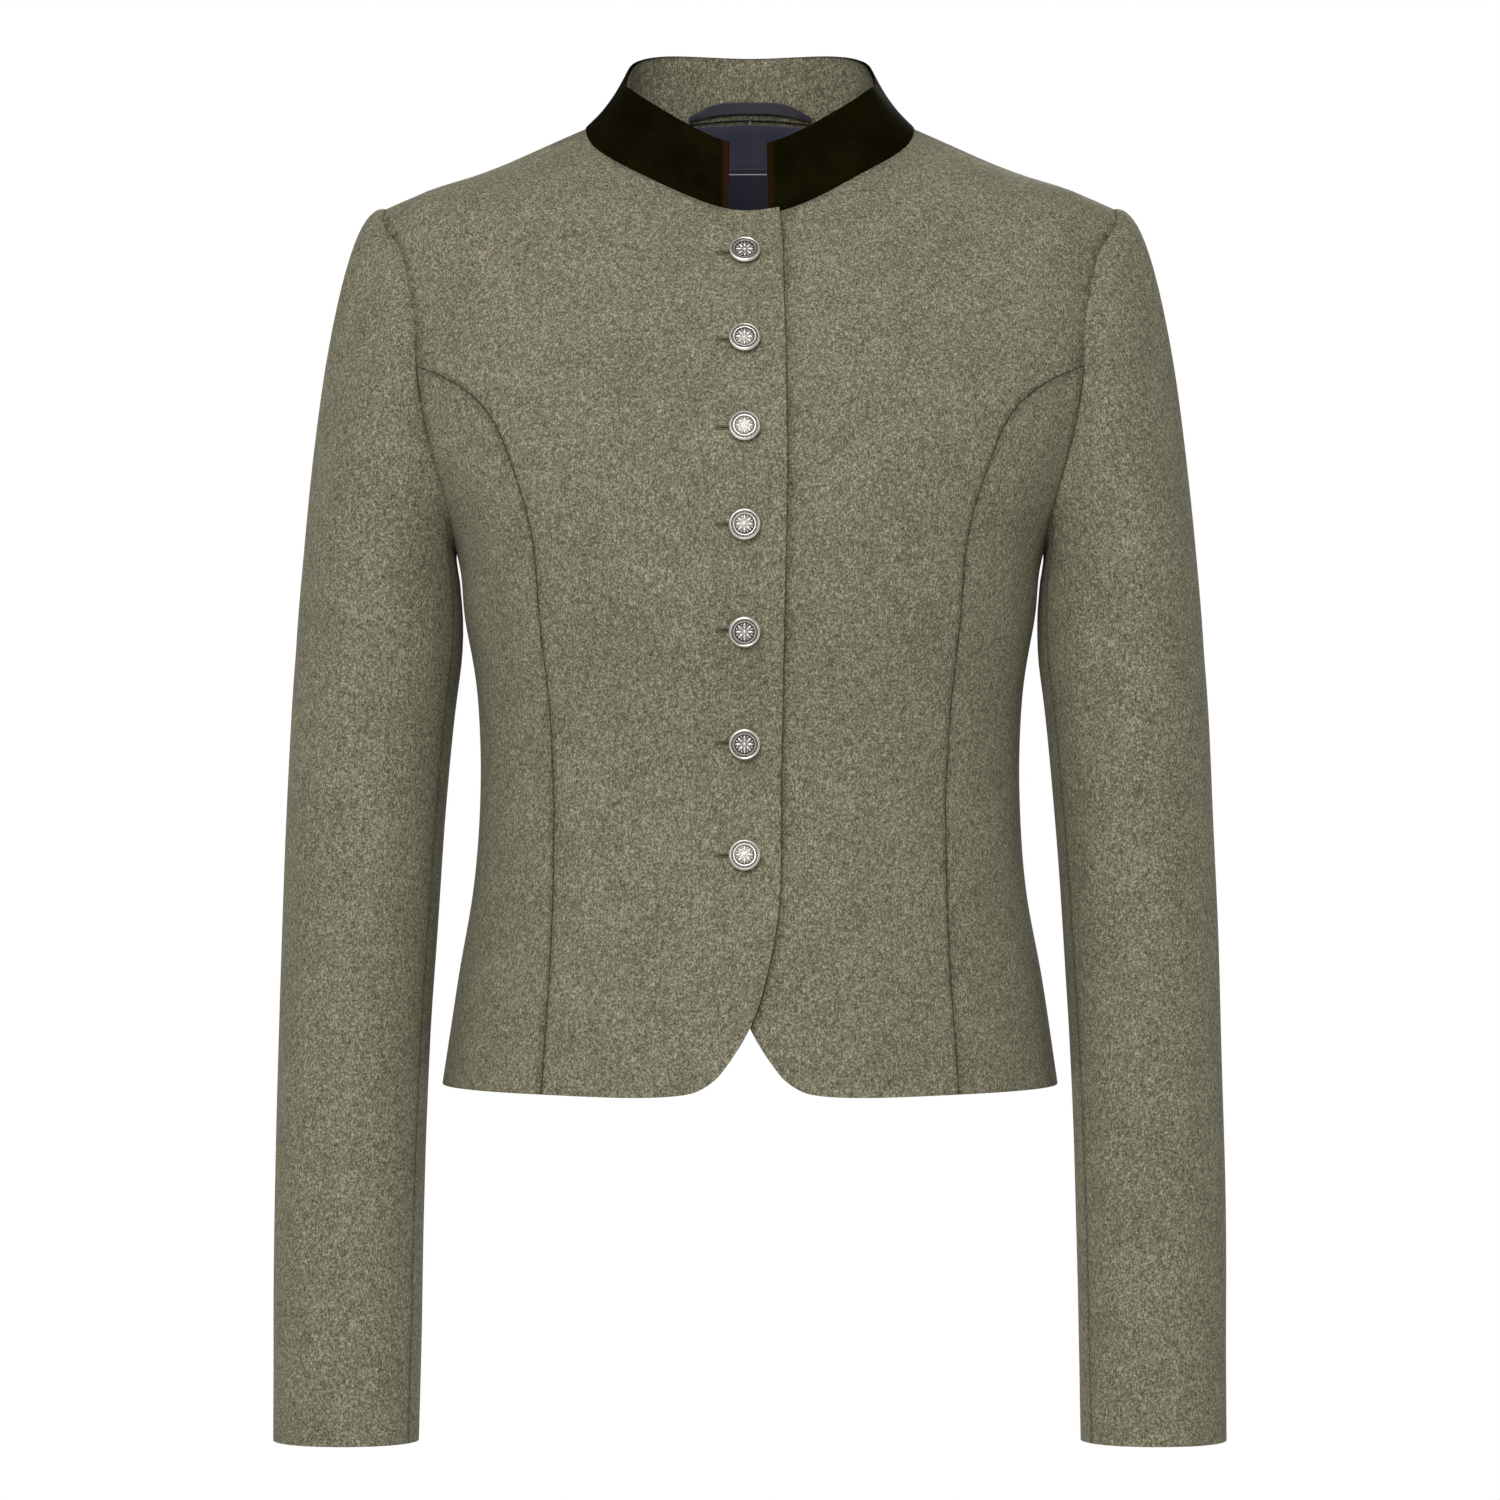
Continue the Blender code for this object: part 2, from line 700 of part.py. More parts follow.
def part_of(points, normals, rows, columns):
    """The stretch of a grid that lies between these rows and columns, parts of a cell too."""

    def between(grid, row, column):
        i = min(int(row), len(grid) - 2)
        j = min(int(column), len(grid[0]) - 2)
        low = grid[i][j].lerp(grid[i][j + 1], column - j)
        high = grid[i + 1][j].lerp(grid[i + 1][j + 1], column - j)
        return low.lerp(high, row - i)

    return tuple(
        [[between(grid, row, column) for column in columns] for row in rows]
        for grid in (points, normals)
    )


def moved_in(points, normals, depth):
    return [[p - n * depth for p, n in zip(*lines)] for lines in zip(points, normals)]


def make_back_neck(centre_back, collection, navy):
    """Lining on the inside of the back, the bare label on it, and the loop."""
    points, normals = on_body(centre_back)
    top, middle = len(points) - 1, len(points[0]) - 1
    depth = WALL + LAYER_GAP
    rows = [*range(top - LINING_ROWS, top), top - LINING_SHORT]
    lining, ways = part_of(points, normals, rows, range(LINING_MARGIN, middle + 1))
    lining = moved_in(lining, ways, depth)
    for hand, mirrored in (("left", False), ("right", True)):
        cloth(f"{hand}_neck_lining", lining, ways, LINING_WALL, navy, collection, mirrored)

    depth += LINING_WALL + LAYER_GAP
    rows = (top - LABEL_LOW, top - 2, top - LABEL_HIGH)
    columns = (middle - LABEL_HALF_WIDTH, middle - 1, middle)
    half = part_of(points, normals, rows, columns)
    label, ways = (
        [line + [Vector((-p.x, p.y, p.z)) for p in line[-2::-1]] for line in grid]
        for grid in half
    )
    label = moved_in(label, ways, depth)
    cloth("neck_label", label, ways, LABEL_WALL, navy, collection)

    inside = 2 * (COLLAR_WALL + LAYER_GAP)
    reach = LOOP_STEP * (len(LOOP) - 1)
    lows, highs = zip(*LOOP)
    points = [[], [], []]
    normals = [[], [], []]
    for j in range(LOOP_COLUMNS + 1):
        across = 1 - 2 * j / LOOP_COLUMNS
        x = reach * across * MM
        turn = bisect(lambda a: x - collar_place(a, 0.2).x, 2 * math.pi / 3, 4 * math.pi / 3)
        step = abs(across) * (len(LOOP) - 1)
        low, high = catmull_rom(lows, step), catmull_rom(highs, step)
        off = inside + LOOP_STAND_OFF * (1 - across**4)
        for i, share in enumerate((0.0, 0.5, 1.0)):
            z = (low + (high - low) * share) * MM
            height = bisect(lambda h: collar_place(turn, h).z - z, -0.2, 1)
            normal = collar_normal(turn, height)
            points[i].append(collar_place(turn, height) - normal * off)
            normals[i].append(normal)
    cloth("hanging_loop", points, normals, LOOP_WALL, navy, collection)


def make_buttons(collection, silver):
    """Turned shank buttons, each square to the cloth under it."""
    profile = bpy.data.meshes.new("button")
    points = [(p.radius * MM, 0, p.height * MM) for p in BUTTON_PROFILE]
    profile.from_pydata(points, [(i, i + 1) for i in range(len(points) - 1)], [])
    for number, height in enumerate(BUTTON_HEIGHTS, 1):
        angle, row = place_on_body(0, BUTTON_X, height * MM, -math.pi / 4, math.pi / 2)
        button = add_object(f"button_{number}", profile.copy(), silver, collection)
        screw = button.modifiers.new("Turn", "SCREW")
        screw.steps = screw.render_steps = BUTTON_STEPS
        screw.use_merge_vertices = True
        screw.merge_threshold = 0.00001
        button.location = body_point(angle, row)
        facing = body_normal(angle, row)
        button.rotation_euler = facing.to_track_quat("Z", "X").to_euler()
    bpy.data.meshes.remove(profile)


def main():
    for obj in list(bpy.data.objects):
        bpy.data.objects.remove(obj)
    collection = bpy.data.collections.new("velvet_collar_blazer")
    bpy.context.scene.collection.children.link(collection)
    wool = make_material("wool", WOOL)
    velvet = make_material("velvet", VELVET)
    navy = make_material("navy_lining", NAVY)
    silver = make_material("silver_metal", SILVER)
    armhole, centre_back, neck_angles = make_body(collection, wool)
    make_sleeves(armhole, collection, wool)
    make_collar(neck_angles, collection, velvet, wool)
    make_back_neck(centre_back, collection, navy)
    make_buttons(collection, silver)


main()
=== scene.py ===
import math
from collections import namedtuple

import bmesh
import bpy
from mathutils import Matrix, Vector, kdtree, noise
from mathutils.bvhtree import BVHTree


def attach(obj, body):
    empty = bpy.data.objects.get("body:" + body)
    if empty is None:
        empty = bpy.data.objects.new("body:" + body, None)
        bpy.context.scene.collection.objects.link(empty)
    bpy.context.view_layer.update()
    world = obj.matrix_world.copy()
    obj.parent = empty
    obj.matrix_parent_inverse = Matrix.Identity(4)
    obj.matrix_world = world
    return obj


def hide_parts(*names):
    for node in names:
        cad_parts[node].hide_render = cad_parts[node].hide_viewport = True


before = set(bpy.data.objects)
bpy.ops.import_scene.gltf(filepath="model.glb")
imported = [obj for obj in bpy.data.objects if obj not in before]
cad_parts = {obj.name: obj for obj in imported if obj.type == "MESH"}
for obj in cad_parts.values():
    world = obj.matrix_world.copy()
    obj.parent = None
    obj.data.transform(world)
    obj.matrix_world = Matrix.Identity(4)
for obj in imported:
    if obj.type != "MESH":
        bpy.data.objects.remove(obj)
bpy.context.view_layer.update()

bpy.ops.object.select_all(action="DESELECT")

# The camera looks straight at the front, level with the waist. The garment's own
# shoulder line is the zero height, and the picture is 772 mm wide at its middle.
CAMERA_AWAY = 4.0
CAMERA_HEIGHT = -0.3205
PICTURE_WIDTH = 0.7725
SENSOR = 36.0

camera_data = bpy.data.cameras.new("camera")
camera_data.sensor_width = SENSOR
camera_data.lens = SENSOR * CAMERA_AWAY / PICTURE_WIDTH
camera = bpy.data.objects.new("camera", camera_data)
camera.location = (0, -CAMERA_AWAY, CAMERA_HEIGHT)
camera.rotation_euler = (math.radians(90), 0, 0)
bpy.context.scene.collection.objects.link(camera)
bpy.context.scene.camera = camera
bpy.context.scene.view_settings.view_transform = "Standard"

# The studio: a pale floor far below, white surroundings, a wide soft light by the
# camera and one behind, a small one aimed at the neck, and weak ones at the sides.
FLOOR_DROP = 1.38
FLOOR_WIDTH = 6.0
SoftLight = namedtuple("SoftLight", "name place aim size power")
SOFT_LIGHTS = (
    SoftLight("front_light", (-0.7, -3.4, 1.3), (0, 0, -0.3), 1.8, 74),
    SoftLight("neck_light", (0, -2.2, 2.0), (0, 0, 0), 0.8, 15),
    SoftLight("left_light", (3.2, -1.4, 0.6), (0, 0, -0.3), 1.6, 7),
    SoftLight("right_light", (-3.2, -1.4, 0.6), (0, 0, -0.3), 1.6, 7),
    SoftLight("back_light", (0.7, 3.2, 1.3), (0, 0, -0.3), 1.8, 58),
)
SURROUND_LIGHT = 0.36
FLOOR_COLOUR = (0.85, 0.85, 0.84, 1)

for soft in SOFT_LIGHTS:
    light = bpy.data.lights.new(soft.name, "AREA")
    light.shape = "DISK"
    light.size = soft.size
    light.energy = soft.power
    lamp = bpy.data.objects.new(soft.name, light)
    lamp.location = soft.place
    way = Vector(soft.aim) - lamp.location
    lamp.rotation_euler = way.to_track_quat("-Z", "Y").to_euler()
    bpy.context.scene.collection.objects.link(lamp)

bpy.ops.mesh.primitive_plane_add(size=FLOOR_WIDTH, location=(0, 0, -FLOOR_DROP))
floor = bpy.context.object
floor.name = "floor"
floor_finish = bpy.data.materials.new("pale_floor")
floor_finish.use_nodes = True
floor_shader = floor_finish.node_tree.nodes["Principled BSDF"]
floor_shader.inputs["Base Color"].default_value = FLOOR_COLOUR
floor.data.materials.append(floor_finish)

surround = bpy.data.worlds.new("studio")
surround.use_nodes = True
tree = surround.node_tree
seen = tree.nodes["Background"]
seen.inputs["Color"].default_value = (1, 1, 1, 1)
seen.inputs["Strength"].default_value = 1.0
felt = tree.nodes.new("ShaderNodeBackground")
felt.inputs["Color"].default_value = (1, 1, 1, 1)
felt.inputs["Strength"].default_value = SURROUND_LIGHT
ray = tree.nodes.new("ShaderNodeLightPath")
choose = tree.nodes.new("ShaderNodeMixShader")
tree.links.new(ray.outputs["Is Camera Ray"], choose.inputs["Fac"])
tree.links.new(felt.outputs["Background"], choose.inputs[1])
tree.links.new(seen.outputs["Background"], choose.inputs[2])
tree.links.new(choose.outputs["Shader"], tree.nodes["World Output"].inputs["Surface"])
bpy.context.scene.world = surround

# The wool: a felted melange cloth spun from undyed, olive and pale fibres, with a
# soft milled face. Its flecks are under a millimetre, and lie a little upright.
WOOL_DARK = (0.070, 0.064, 0.040)
WOOL_MIDDLE = (0.172, 0.160, 0.106)
WOOL_LIGHT = (0.400, 0.375, 0.265)
WOOL_TONES = ((0.37, WOOL_DARK), (0.50, WOOL_MIDDLE), (0.64, WOOL_LIGHT))
WOOL_ROUGHNESS = 0.95
WOOL_GLOSS = 0.12
WOOL_SHEEN = 0.12
WOOL_SHEEN_SPREAD = 0.5
WOOL_SHEEN_TINT = (0.75, 0.72, 0.6, 1)
NAP_DEPTH = 0.0005
NAP_STRENGTH = 0.5
FIBRE_SHARE = 0.5
FLECK_ROUGHNESS = 0.65
FLECK_SCALE = 1150.0
MOTTLE_SCALE = 420.0
CLOUD_SCALE = 45.0
FIBRE_SCALE = 2600.0
FLECK_SHARE = 0.64
MOTTLE_SHARE = 0.18
CLOUD_SHARE = 0.06
WEAVE_SHARE = 0.06
WEAVE_SCALE = 1500.0
UPRIGHT_THREADS = (1.0, 1.0, 0.16)
LEVEL_THREADS = (0.16, 0.16, 1.0)
# How much painted shade darkens the wool down in the seam grooves
SEAM_SHADE = 0.72
FLECK_STRETCH = (1.0, 1.0, 0.72)


def new_finish(name, roughness, metallic=0.0):
    """A material with its shader, and the Object coordinates that patterns read."""
    finish = bpy.data.materials.new(name)
    finish.use_nodes = True
    nodes, links = finish.node_tree.nodes, finish.node_tree.links
    shader = nodes["Principled BSDF"]
    shader.inputs["Roughness"].default_value = roughness
    shader.inputs["Metallic"].default_value = metallic
    place = nodes.new("ShaderNodeTexCoord")
    return finish, nodes, links, shader, place.outputs["Object"]


def add_noise(nodes, links, place, scale, detail=2.0, roughness=0.5):
    """A soft random pattern. The scale says how fine it is."""
    pattern = nodes.new("ShaderNodeTexNoise")
    pattern.inputs["Scale"].default_value = scale
    pattern.inputs["Detail"].default_value = detail
    pattern.inputs["Roughness"].default_value = roughness
    links.new(place, pattern.inputs["Vector"])
    return pattern.outputs["Fac"]


def add_ramp(nodes, links, value, stops):
    """Colours or greys at places along a value."""
    ramp = nodes.new("ShaderNodeValToRGB")
    while len(ramp.color_ramp.elements) < len(stops):
        ramp.color_ramp.elements.new(0.5)
    for element, (position, colour) in zip(ramp.color_ramp.elements, stops):
        element.position = position
        element.color = (*colour, 1)
    links.new(value, ramp.inputs["Fac"])
    return ramp.outputs["Color"]


def add_math(nodes, links, operation, first, second):
    """A sum on two values, each of them a number or another node's output."""
    step = nodes.new("ShaderNodeMath")
    step.operation = operation
    for socket, value in zip(step.inputs, (first, second)):
        if isinstance(value, (int, float)):
            socket.default_value = value
        else:
            links.new(value, socket)
    return step.outputs["Value"]


def add_bump(nodes, links, shader, height, depth, strength):
    """Fine relief of the surface, as light sees it."""
    bump = nodes.new("ShaderNodeBump")
    bump.inputs["Strength"].default_value = strength
    bump.inputs["Distance"].default_value = depth
    links.new(height, bump.inputs["Height"])
    links.new(bump.outputs["Normal"], shader.inputs["Normal"])


def add_sum(nodes, links, parts):
    """The sum of values, each multiplied by its share."""
    total = None
    for value, share in parts:
        part = add_math(nodes, links, "MULTIPLY", value, share)
        total = part if total is None else add_math(nodes, links, "ADD", total, part)
    return total


def add_threads(nodes, links, place, stretch):
    """The threads of the weave that run one way, as uneven streaks."""
    laid = nodes.new("ShaderNodeMapping")
    laid.inputs["Scale"].default_value = stretch
    links.new(place, laid.inputs["Vector"])
    return add_noise(nodes, links, laid.outputs["Vector"], WEAVE_SCALE, 1.0)


def add_painted_shade(nodes, links, colour, share):
    """Darkens a colour with painted shade, by a share, where a piece's own attribute marks
    it: down in the seam grooves, beside the lap and in the buttonhole slits.
    """
    painted_shade = nodes.new("ShaderNodeAttribute")
    painted_shade.attribute_name = "painted_shade"
    kept = add_math(nodes, links, "MULTIPLY", painted_shade.outputs["Fac"], -share)
    kept = add_math(nodes, links, "ADD", kept, 1.0)
    darker = nodes.new("ShaderNodeVectorMath")
    darker.operation = "SCALE"
    links.new(colour, darker.inputs["Vector"])
    links.new(kept, darker.inputs["Scale"])
    return darker.outputs["Vector"]


def make_wool():
    finish, nodes, links, shader, place = new_finish("felted_wool", WOOL_ROUGHNESS)
    upright = nodes.new("ShaderNodeMapping")
    upright.inputs["Scale"].default_value = FLECK_STRETCH
    links.new(place, upright.inputs["Vector"])
    grain = upright.outputs["Vector"]
    mixed = add_sum(nodes, links, (
        (add_noise(nodes, links, grain, FLECK_SCALE, roughness=FLECK_ROUGHNESS), FLECK_SHARE),
        (add_noise(nodes, links, grain, MOTTLE_SCALE), MOTTLE_SHARE),
        (add_noise(nodes, links, place, CLOUD_SCALE), CLOUD_SHARE),
        (add_threads(nodes, links, place, UPRIGHT_THREADS), WEAVE_SHARE),
        (add_threads(nodes, links, place, LEVEL_THREADS), WEAVE_SHARE),
    ))
    colour = add_ramp(nodes, links, mixed, WOOL_TONES)
    # The wool's colour is darkened with painted shade in the seam grooves and beside the lap.
    links.new(add_painted_shade(nodes, links, colour, SEAM_SHADE), shader.inputs["Base Color"])
    shader.inputs["Specular IOR Level"].default_value = WOOL_GLOSS
    shader.inputs["Sheen Weight"].default_value = WOOL_SHEEN
    shader.inputs["Sheen Roughness"].default_value = WOOL_SHEEN_SPREAD
    shader.inputs["Sheen Tint"].default_value = WOOL_SHEEN_TINT
    fibres = add_noise(nodes, links, grain, FIBRE_SCALE)
    height = add_sum(nodes, links, ((mixed, 1.0), (fibres, FIBRE_SHARE)))
    add_bump(nodes, links, shader, height, NAP_DEPTH, NAP_STRENGTH)
    return finish


wool = make_wool()

# Centre fronts: two wool pieces from the shoulder and neck down to a rounded hem
# corner, the wearer's right one lapped over the left one. Their edges are turned
# and pressed, so they are soft and have no stitches on the face.
EDGE_TURN = math.radians(60)
EDGE_ROUND = 0.0007
EDGE_SHARE = 0.4
CUT_LEVELS = 2
JOIN_WITHIN = 1e-5
QUAD_BEND = math.radians(50)
RIM_HEIGHT = 0.0022
SAME_WAY = 0.8
SEAM_REACH = 0.00016
FITTING_ROUNDS = 3
EASE_REACH = 0.028
EASE_ROUNDS = 12
ARMHOLE_NEAR = 0.0025
ARMHOLE_FADE = 0.03
SEAM_NEAR = 0.0022
SEAM_DIP = 0.00016
DIP_SHARE = 0.1
NARROW = 0.0006
# The share of the painted seam shade at the sides of a groove
SEAM_SIDE = 0.45
WAVINESS = 0.0005
WAVE_SIZE = 0.07
OTHER_SIDE_DEPTH = 0.75
OTHER_SIDE_DROP = 0.007
CREASE_SPAN = 3
CREASE_ENDS = 0.08
BODY_FLATNESS = 1.4
HANDS = (("left", False), ("right", True))
NECK_CORNER = Vector((0.084, 0.004, 0.0))
Crease = namedtuple("Crease", "start end width depth")
# Drag lines at the underarm, the bust and the waist, and folds above the hips
BODY_CREASES = (
    Crease((0.150, -0.062, -0.205), (0.095, -0.112, -0.232), 0.009, -0.0010),
    Crease((0.158, -0.055, -0.170), (0.110, -0.098, -0.185), 0.011, 0.0008),
    Crease((0.136, -0.020, -0.318), (0.085, -0.085, -0.322), 0.010, 0.0008),
    Crease((0.135, -0.030, -0.338), (0.070, -0.092, -0.352), 0.009, -0.0011),
    Crease((0.150, -0.020, -0.430), (0.100, -0.090, -0.400), 0.016, 0.0007),
    Crease((0.150, -0.040, -0.240), (0.150, 0.030, -0.240), 0.020, 0.0010),
    Crease((0.155, 0.045, -0.195), (0.115, 0.085, -0.235), 0.009, -0.0009),
    Crease((0.165, 0.045, -0.135), (0.090, 0.100, -0.200), 0.013, -0.0011),
    Crease((0.137, 0.020, -0.305), (0.020, 0.086, -0.313), 0.012, 0.0012),
    Crease((0.138, 0.020, -0.330), (0.030, 0.082, -0.342), 0.011, -0.0015),
    Crease((0.139, 0.020, -0.355), (0.040, 0.082, -0.364), 0.010, 0.0010),
)
BODY_NODES = ("front", "front_side", "back_side", "back")


def tree_of(points):
    """A search tree for the nearest of the points."""
    tree = kdtree.KDTree(len(points))
    for index, point in enumerate(points):
        tree.insert(point, index)
    tree.balance()
    return tree


def armhole_tree():
    """The points of the sleeves' tops, which lie along the body's armhole edges."""
    body, sleeves = [], []
    for hand, _ in HANDS:
        for part in BODY_NODES:
            body += [v.co.copy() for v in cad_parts[f"{hand}_{part}"].data.vertices]
        for part in ("sleeve_top", "sleeve_under"):
            sleeves += [v.co.copy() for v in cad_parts[f"{hand}_{part}"].data.vertices]
    near = tree_of(body)
    return tree_of([point for point in sleeves if near.find(point)[2] < ARMHOLE_NEAR])


armholes = armhole_tree()


def neighbours_of(node):
    """The surface of all the outer cloth pieces but one."""
    parts = (*BODY_NODES, "sleeve_top", "sleeve_under")
    names = [f"{hand}_{part}" for hand, _ in HANDS for part in parts]
    places, faces = [], []
    for name in [*names, "collar_velvet", "collar_inner"]:
        if name != node:
            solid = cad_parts[name].data
            first = len(places)
            places += [vert.co.copy() for vert in solid.vertices]
            faces += [[first + i for i in face.vertices] for face in solid.polygons]
    return BVHTree.FromPolygons(places, faces)


def select_only(piece):
    bpy.ops.object.select_all(action="DESELECT")
    bpy.context.view_layer.objects.active = piece
    piece.select_set(True)


def all_in_edit(piece):
    """Opens a piece in edit mode, with all of it selected."""
    select_only(piece)
    bpy.ops.object.mode_set(mode="EDIT")
    bpy.ops.mesh.select_all(action="SELECT")


def shortest_side(face):
    return min(edge.calc_length() for edge in face.edges)


def square_rim(piece):
    """Leaves the narrow rim of a smooth cloth one face high, for the edge to round."""
    all_in_edit(piece)
    bpy.ops.mesh.select_mode(type="EDGE")
    bpy.ops.mesh.select_all(action="DESELECT")
    shell = bmesh.from_edit_mesh(piece.data)
    rim = {face for face in shell.faces if shortest_side(face) < NARROW}
    for edge in shell.edges:
        inside = len(edge.link_faces) == 2 and all(face in rim for face in edge.link_faces)
        if inside and edge.calc_length() > NARROW and edge.calc_face_angle(0) < EDGE_TURN:
            edge.select = True
    bmesh.update_edit_mesh(piece.data)
    bpy.ops.mesh.dissolve_edges(use_verts=True)
    bpy.ops.object.mode_set(mode="OBJECT")


def wall_of(piece):
    """The thickness of a cloth, which is the usual height of its rim faces."""
    corners, heights = piece.data.vertices, []
    for face in piece.data.polygons:
        ring = [corners[index].co for index in face.vertices]
        side = min((here - there).length for here, there in zip(ring, ring[1:] + ring[:1]))
        if side < RIM_HEIGHT:
            heights.append(side)
    return sorted(heights)[len(heights) // 2]


def press_seams(piece, others, dip):
    """Lets the cloth dip along its seams, where the seam allowances are pressed open."""
    shell = bmesh.new()
    shell.from_mesh(piece.data)
    moves = {}
    for vert in shell.verts:
        sharp = any(edge.calc_face_angle(0) > EDGE_TURN for edge in vert.link_edges)
        if sharp and others.find_nearest(vert.co, SEAM_NEAR)[0]:
            wide = max(vert.link_faces, key=lambda face: face.calc_area())
            moves[vert] = -wide.normal * dip
    for vert, move in moves.items():
        vert.co += move
    shell.to_mesh(piece.data)
    shell.free()


def paint_seam_shade(piece, others):
    """Writes the attribute of painted shade on the cut edges which lie down in a seam: full
    down in the groove, less at its sides.
    """
    shape = piece.data
    lengths = [
        (shape.vertices[edge.vertices[0]].co - shape.vertices[edge.vertices[1]].co).length
        for edge in shape.edges]
    face_up, edge_on = set(), set()
    for face in shape.polygons:
        sides = [lengths[shape.loops[corner].edge_index] for corner in face.loop_indices]
        (face_up if min(sides) > NARROW else edge_on).update(face.vertices)
    painted_shade = shape.attributes.new("painted_shade", "FLOAT", "POINT")
    for vert in shape.vertices:
        if vert.index in edge_on and others.find_nearest(vert.co, SEAM_NEAR)[0]:
            painted_shade.data[vert.index].value = SEAM_SIDE if vert.index in face_up else 1.0


def add_smoothing(cage):
    smooth = cage.modifiers.new("Smooth cloth", "SUBSURF")
    smooth.levels = smooth.render_levels = CUT_LEVELS
    return smooth


def smoothed_places(cage):
    """Where the points of a coarse mesh come to lie when it is subdivided."""
    smooth = add_smoothing(cage)
    view = bpy.context.evaluated_depsgraph_get()
    view.update()
    shown = cage.evaluated_get(view)
    places = [vert.co.copy() for vert in shown.data.vertices[:len(cage.data.vertices)]]
    cage.modifiers.remove(smooth)
    return places


def let_out(piece, reach):
    """Moves a piece's narrow rim faces outwards, to meet the neighbour at the seam."""
    shell = bmesh.new()
    shell.from_mesh(piece.data)
    moves = {}
    for face in shell.faces:
        if shortest_side(face) < RIM_HEIGHT:
            for vert in face.verts:
                ways = moves.setdefault(vert, [])
                if all(way.dot(face.normal) < SAME_WAY for way in ways):
                    ways.append(face.normal.copy())
    for vert, ways in moves.items():
        for way in ways:
            vert.co += way * reach(way)
    shell.to_mesh(piece.data)
    shell.free()


def cut_cloth(node, reach=lambda way: SEAM_REACH):
    """A smooth copy of a cut piece's solid, crisp only where the cloth ends. The
    cage is first moved out, so that the smooth cloth passes through its points."""
    piece = bpy.data.objects.new(f"{node}_cloth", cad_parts[node].data.copy())
    piece.data.materials.clear()
    bpy.context.scene.collection.objects.link(piece)
    all_in_edit(piece)
    bpy.ops.mesh.customdata_custom_splitnormals_clear()
    bpy.ops.mesh.remove_doubles(threshold=JOIN_WITHIN)
    bpy.ops.mesh.tris_convert_to_quads(face_threshold=QUAD_BEND, shape_threshold=QUAD_BEND)
    bpy.ops.mesh.select_all(action="DESELECT")
    bpy.ops.mesh.select_mode(type="EDGE")
    bpy.ops.mesh.edges_select_sharp(sharpness=EDGE_TURN)
    shell = bmesh.from_edit_mesh(piece.data)
    for edge in shell.edges:
        beside_rim = any(shortest_side(face) < RIM_HEIGHT for face in edge.link_faces)
        edge.select = edge.select and beside_rim
    bmesh.update_edit_mesh(piece.data)
    bpy.ops.transform.edge_crease(value=1.0)
    bpy.ops.object.mode_set(mode="OBJECT")
    let_out(piece, reach)
    goal = [vert.co.copy() for vert in piece.data.vertices]
    for _ in range(FITTING_ROUNDS):
        for vert, aim, place in zip(piece.data.vertices, goal, smoothed_places(piece)):
            vert.co += aim - place
    bpy.ops.object.modifier_apply(modifier=add_smoothing(piece).name)
    return piece


def near_line(point, start, end):
    """Distance of a point from a line, and how far along the line it lies, 0 to 1."""
    way = end - start
    along = min(max((point - start).dot(way) / way.length_squared, 0.0), 1.0)
    return (point - start - way * along).length, along


def ease(piece, mirrored):
    """Smooths out the face of a piece beside the corner of its neck and shoulder seams."""
    corner = NECK_CORNER.copy()
    if mirrored:
        corner.x = -corner.x
    all_in_edit(piece)
    bpy.ops.mesh.select_all(action="DESELECT")
    shell = bmesh.from_edit_mesh(piece.data)
    crisp = shell.edges.layers.float.get("crease_edge")
    for vert in shell.verts:
        on_rim = any(edge[crisp] > 0.5 for edge in vert.link_edges)
        vert.select = not on_rim and (vert.co - corner).length < EASE_REACH
    shell.select_flush_mode()
    bmesh.update_edit_mesh(piece.data)
    bpy.ops.mesh.vertices_smooth(factor=0.5, repeat=EASE_ROUNDS)
    bpy.ops.object.mode_set(mode="OBJECT")


def wear(piece, creases, outward, mirrored=False):
    """Soft troughs and ridges along lines, and a slight unevenness all over, which
    fade out towards the armhole. A crease with a negative depth is a trough."""
    lines = []
    for crease in creases:
        start, end, depth = Vector(crease.start), Vector(crease.end), crease.depth
        if mirrored:
            start.x, end.x = -start.x, -end.x
            end.z -= OTHER_SIDE_DROP
            depth *= OTHER_SIDE_DEPTH
        lines.append((start, end, crease.width, depth))
    for vert in piece.data.vertices:
        off = noise.noise(vert.co / WAVE_SIZE) * WAVINESS
        for start, end, width, depth in lines:
            away, along = near_line(vert.co, start, end)
            if away < CREASE_SPAN * width:
                fade = math.sin(math.pi * (CREASE_ENDS + (1 - 2 * CREASE_ENDS) * along))
                off += depth * fade * math.exp(-((away / width) ** 2))
        share = min(armholes.find(vert.co)[2] / ARMHOLE_FADE, 1.0)
        vert.co += outward(vert.co) * off * share * share * (3 - 2 * share)


def finish_cloth(piece, node, material):
    """Rounds the cut edges, paints shade in the seams, gives the piece its material, hangs it
    on the root and hides the solid it was cut from.
    """
    select_only(piece)
    others = neighbours_of(node)
    square_rim(piece)
    wall = wall_of(piece)
    press_seams(piece, others, min(SEAM_DIP, wall * DIP_SHARE))
    rounding = piece.modifiers.new("Turned edge", "BEVEL")
    rounding.width = min(EDGE_ROUND, wall * EDGE_SHARE)
    rounding.segments = 3
    rounding.limit_method = "ANGLE"
    rounding.angle_limit = EDGE_TURN
    bpy.ops.object.modifier_apply(modifier=rounding.name)
    paint_seam_shade(piece, others)
    bpy.ops.object.shade_smooth()
    piece.data.materials.append(material)
    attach(piece, "root")
    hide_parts(node)


def from_body_axis(point):
    """Away from the body's upright middle line."""
    return Vector((point.x, point.y * BODY_FLATNESS, 0)).normalized()


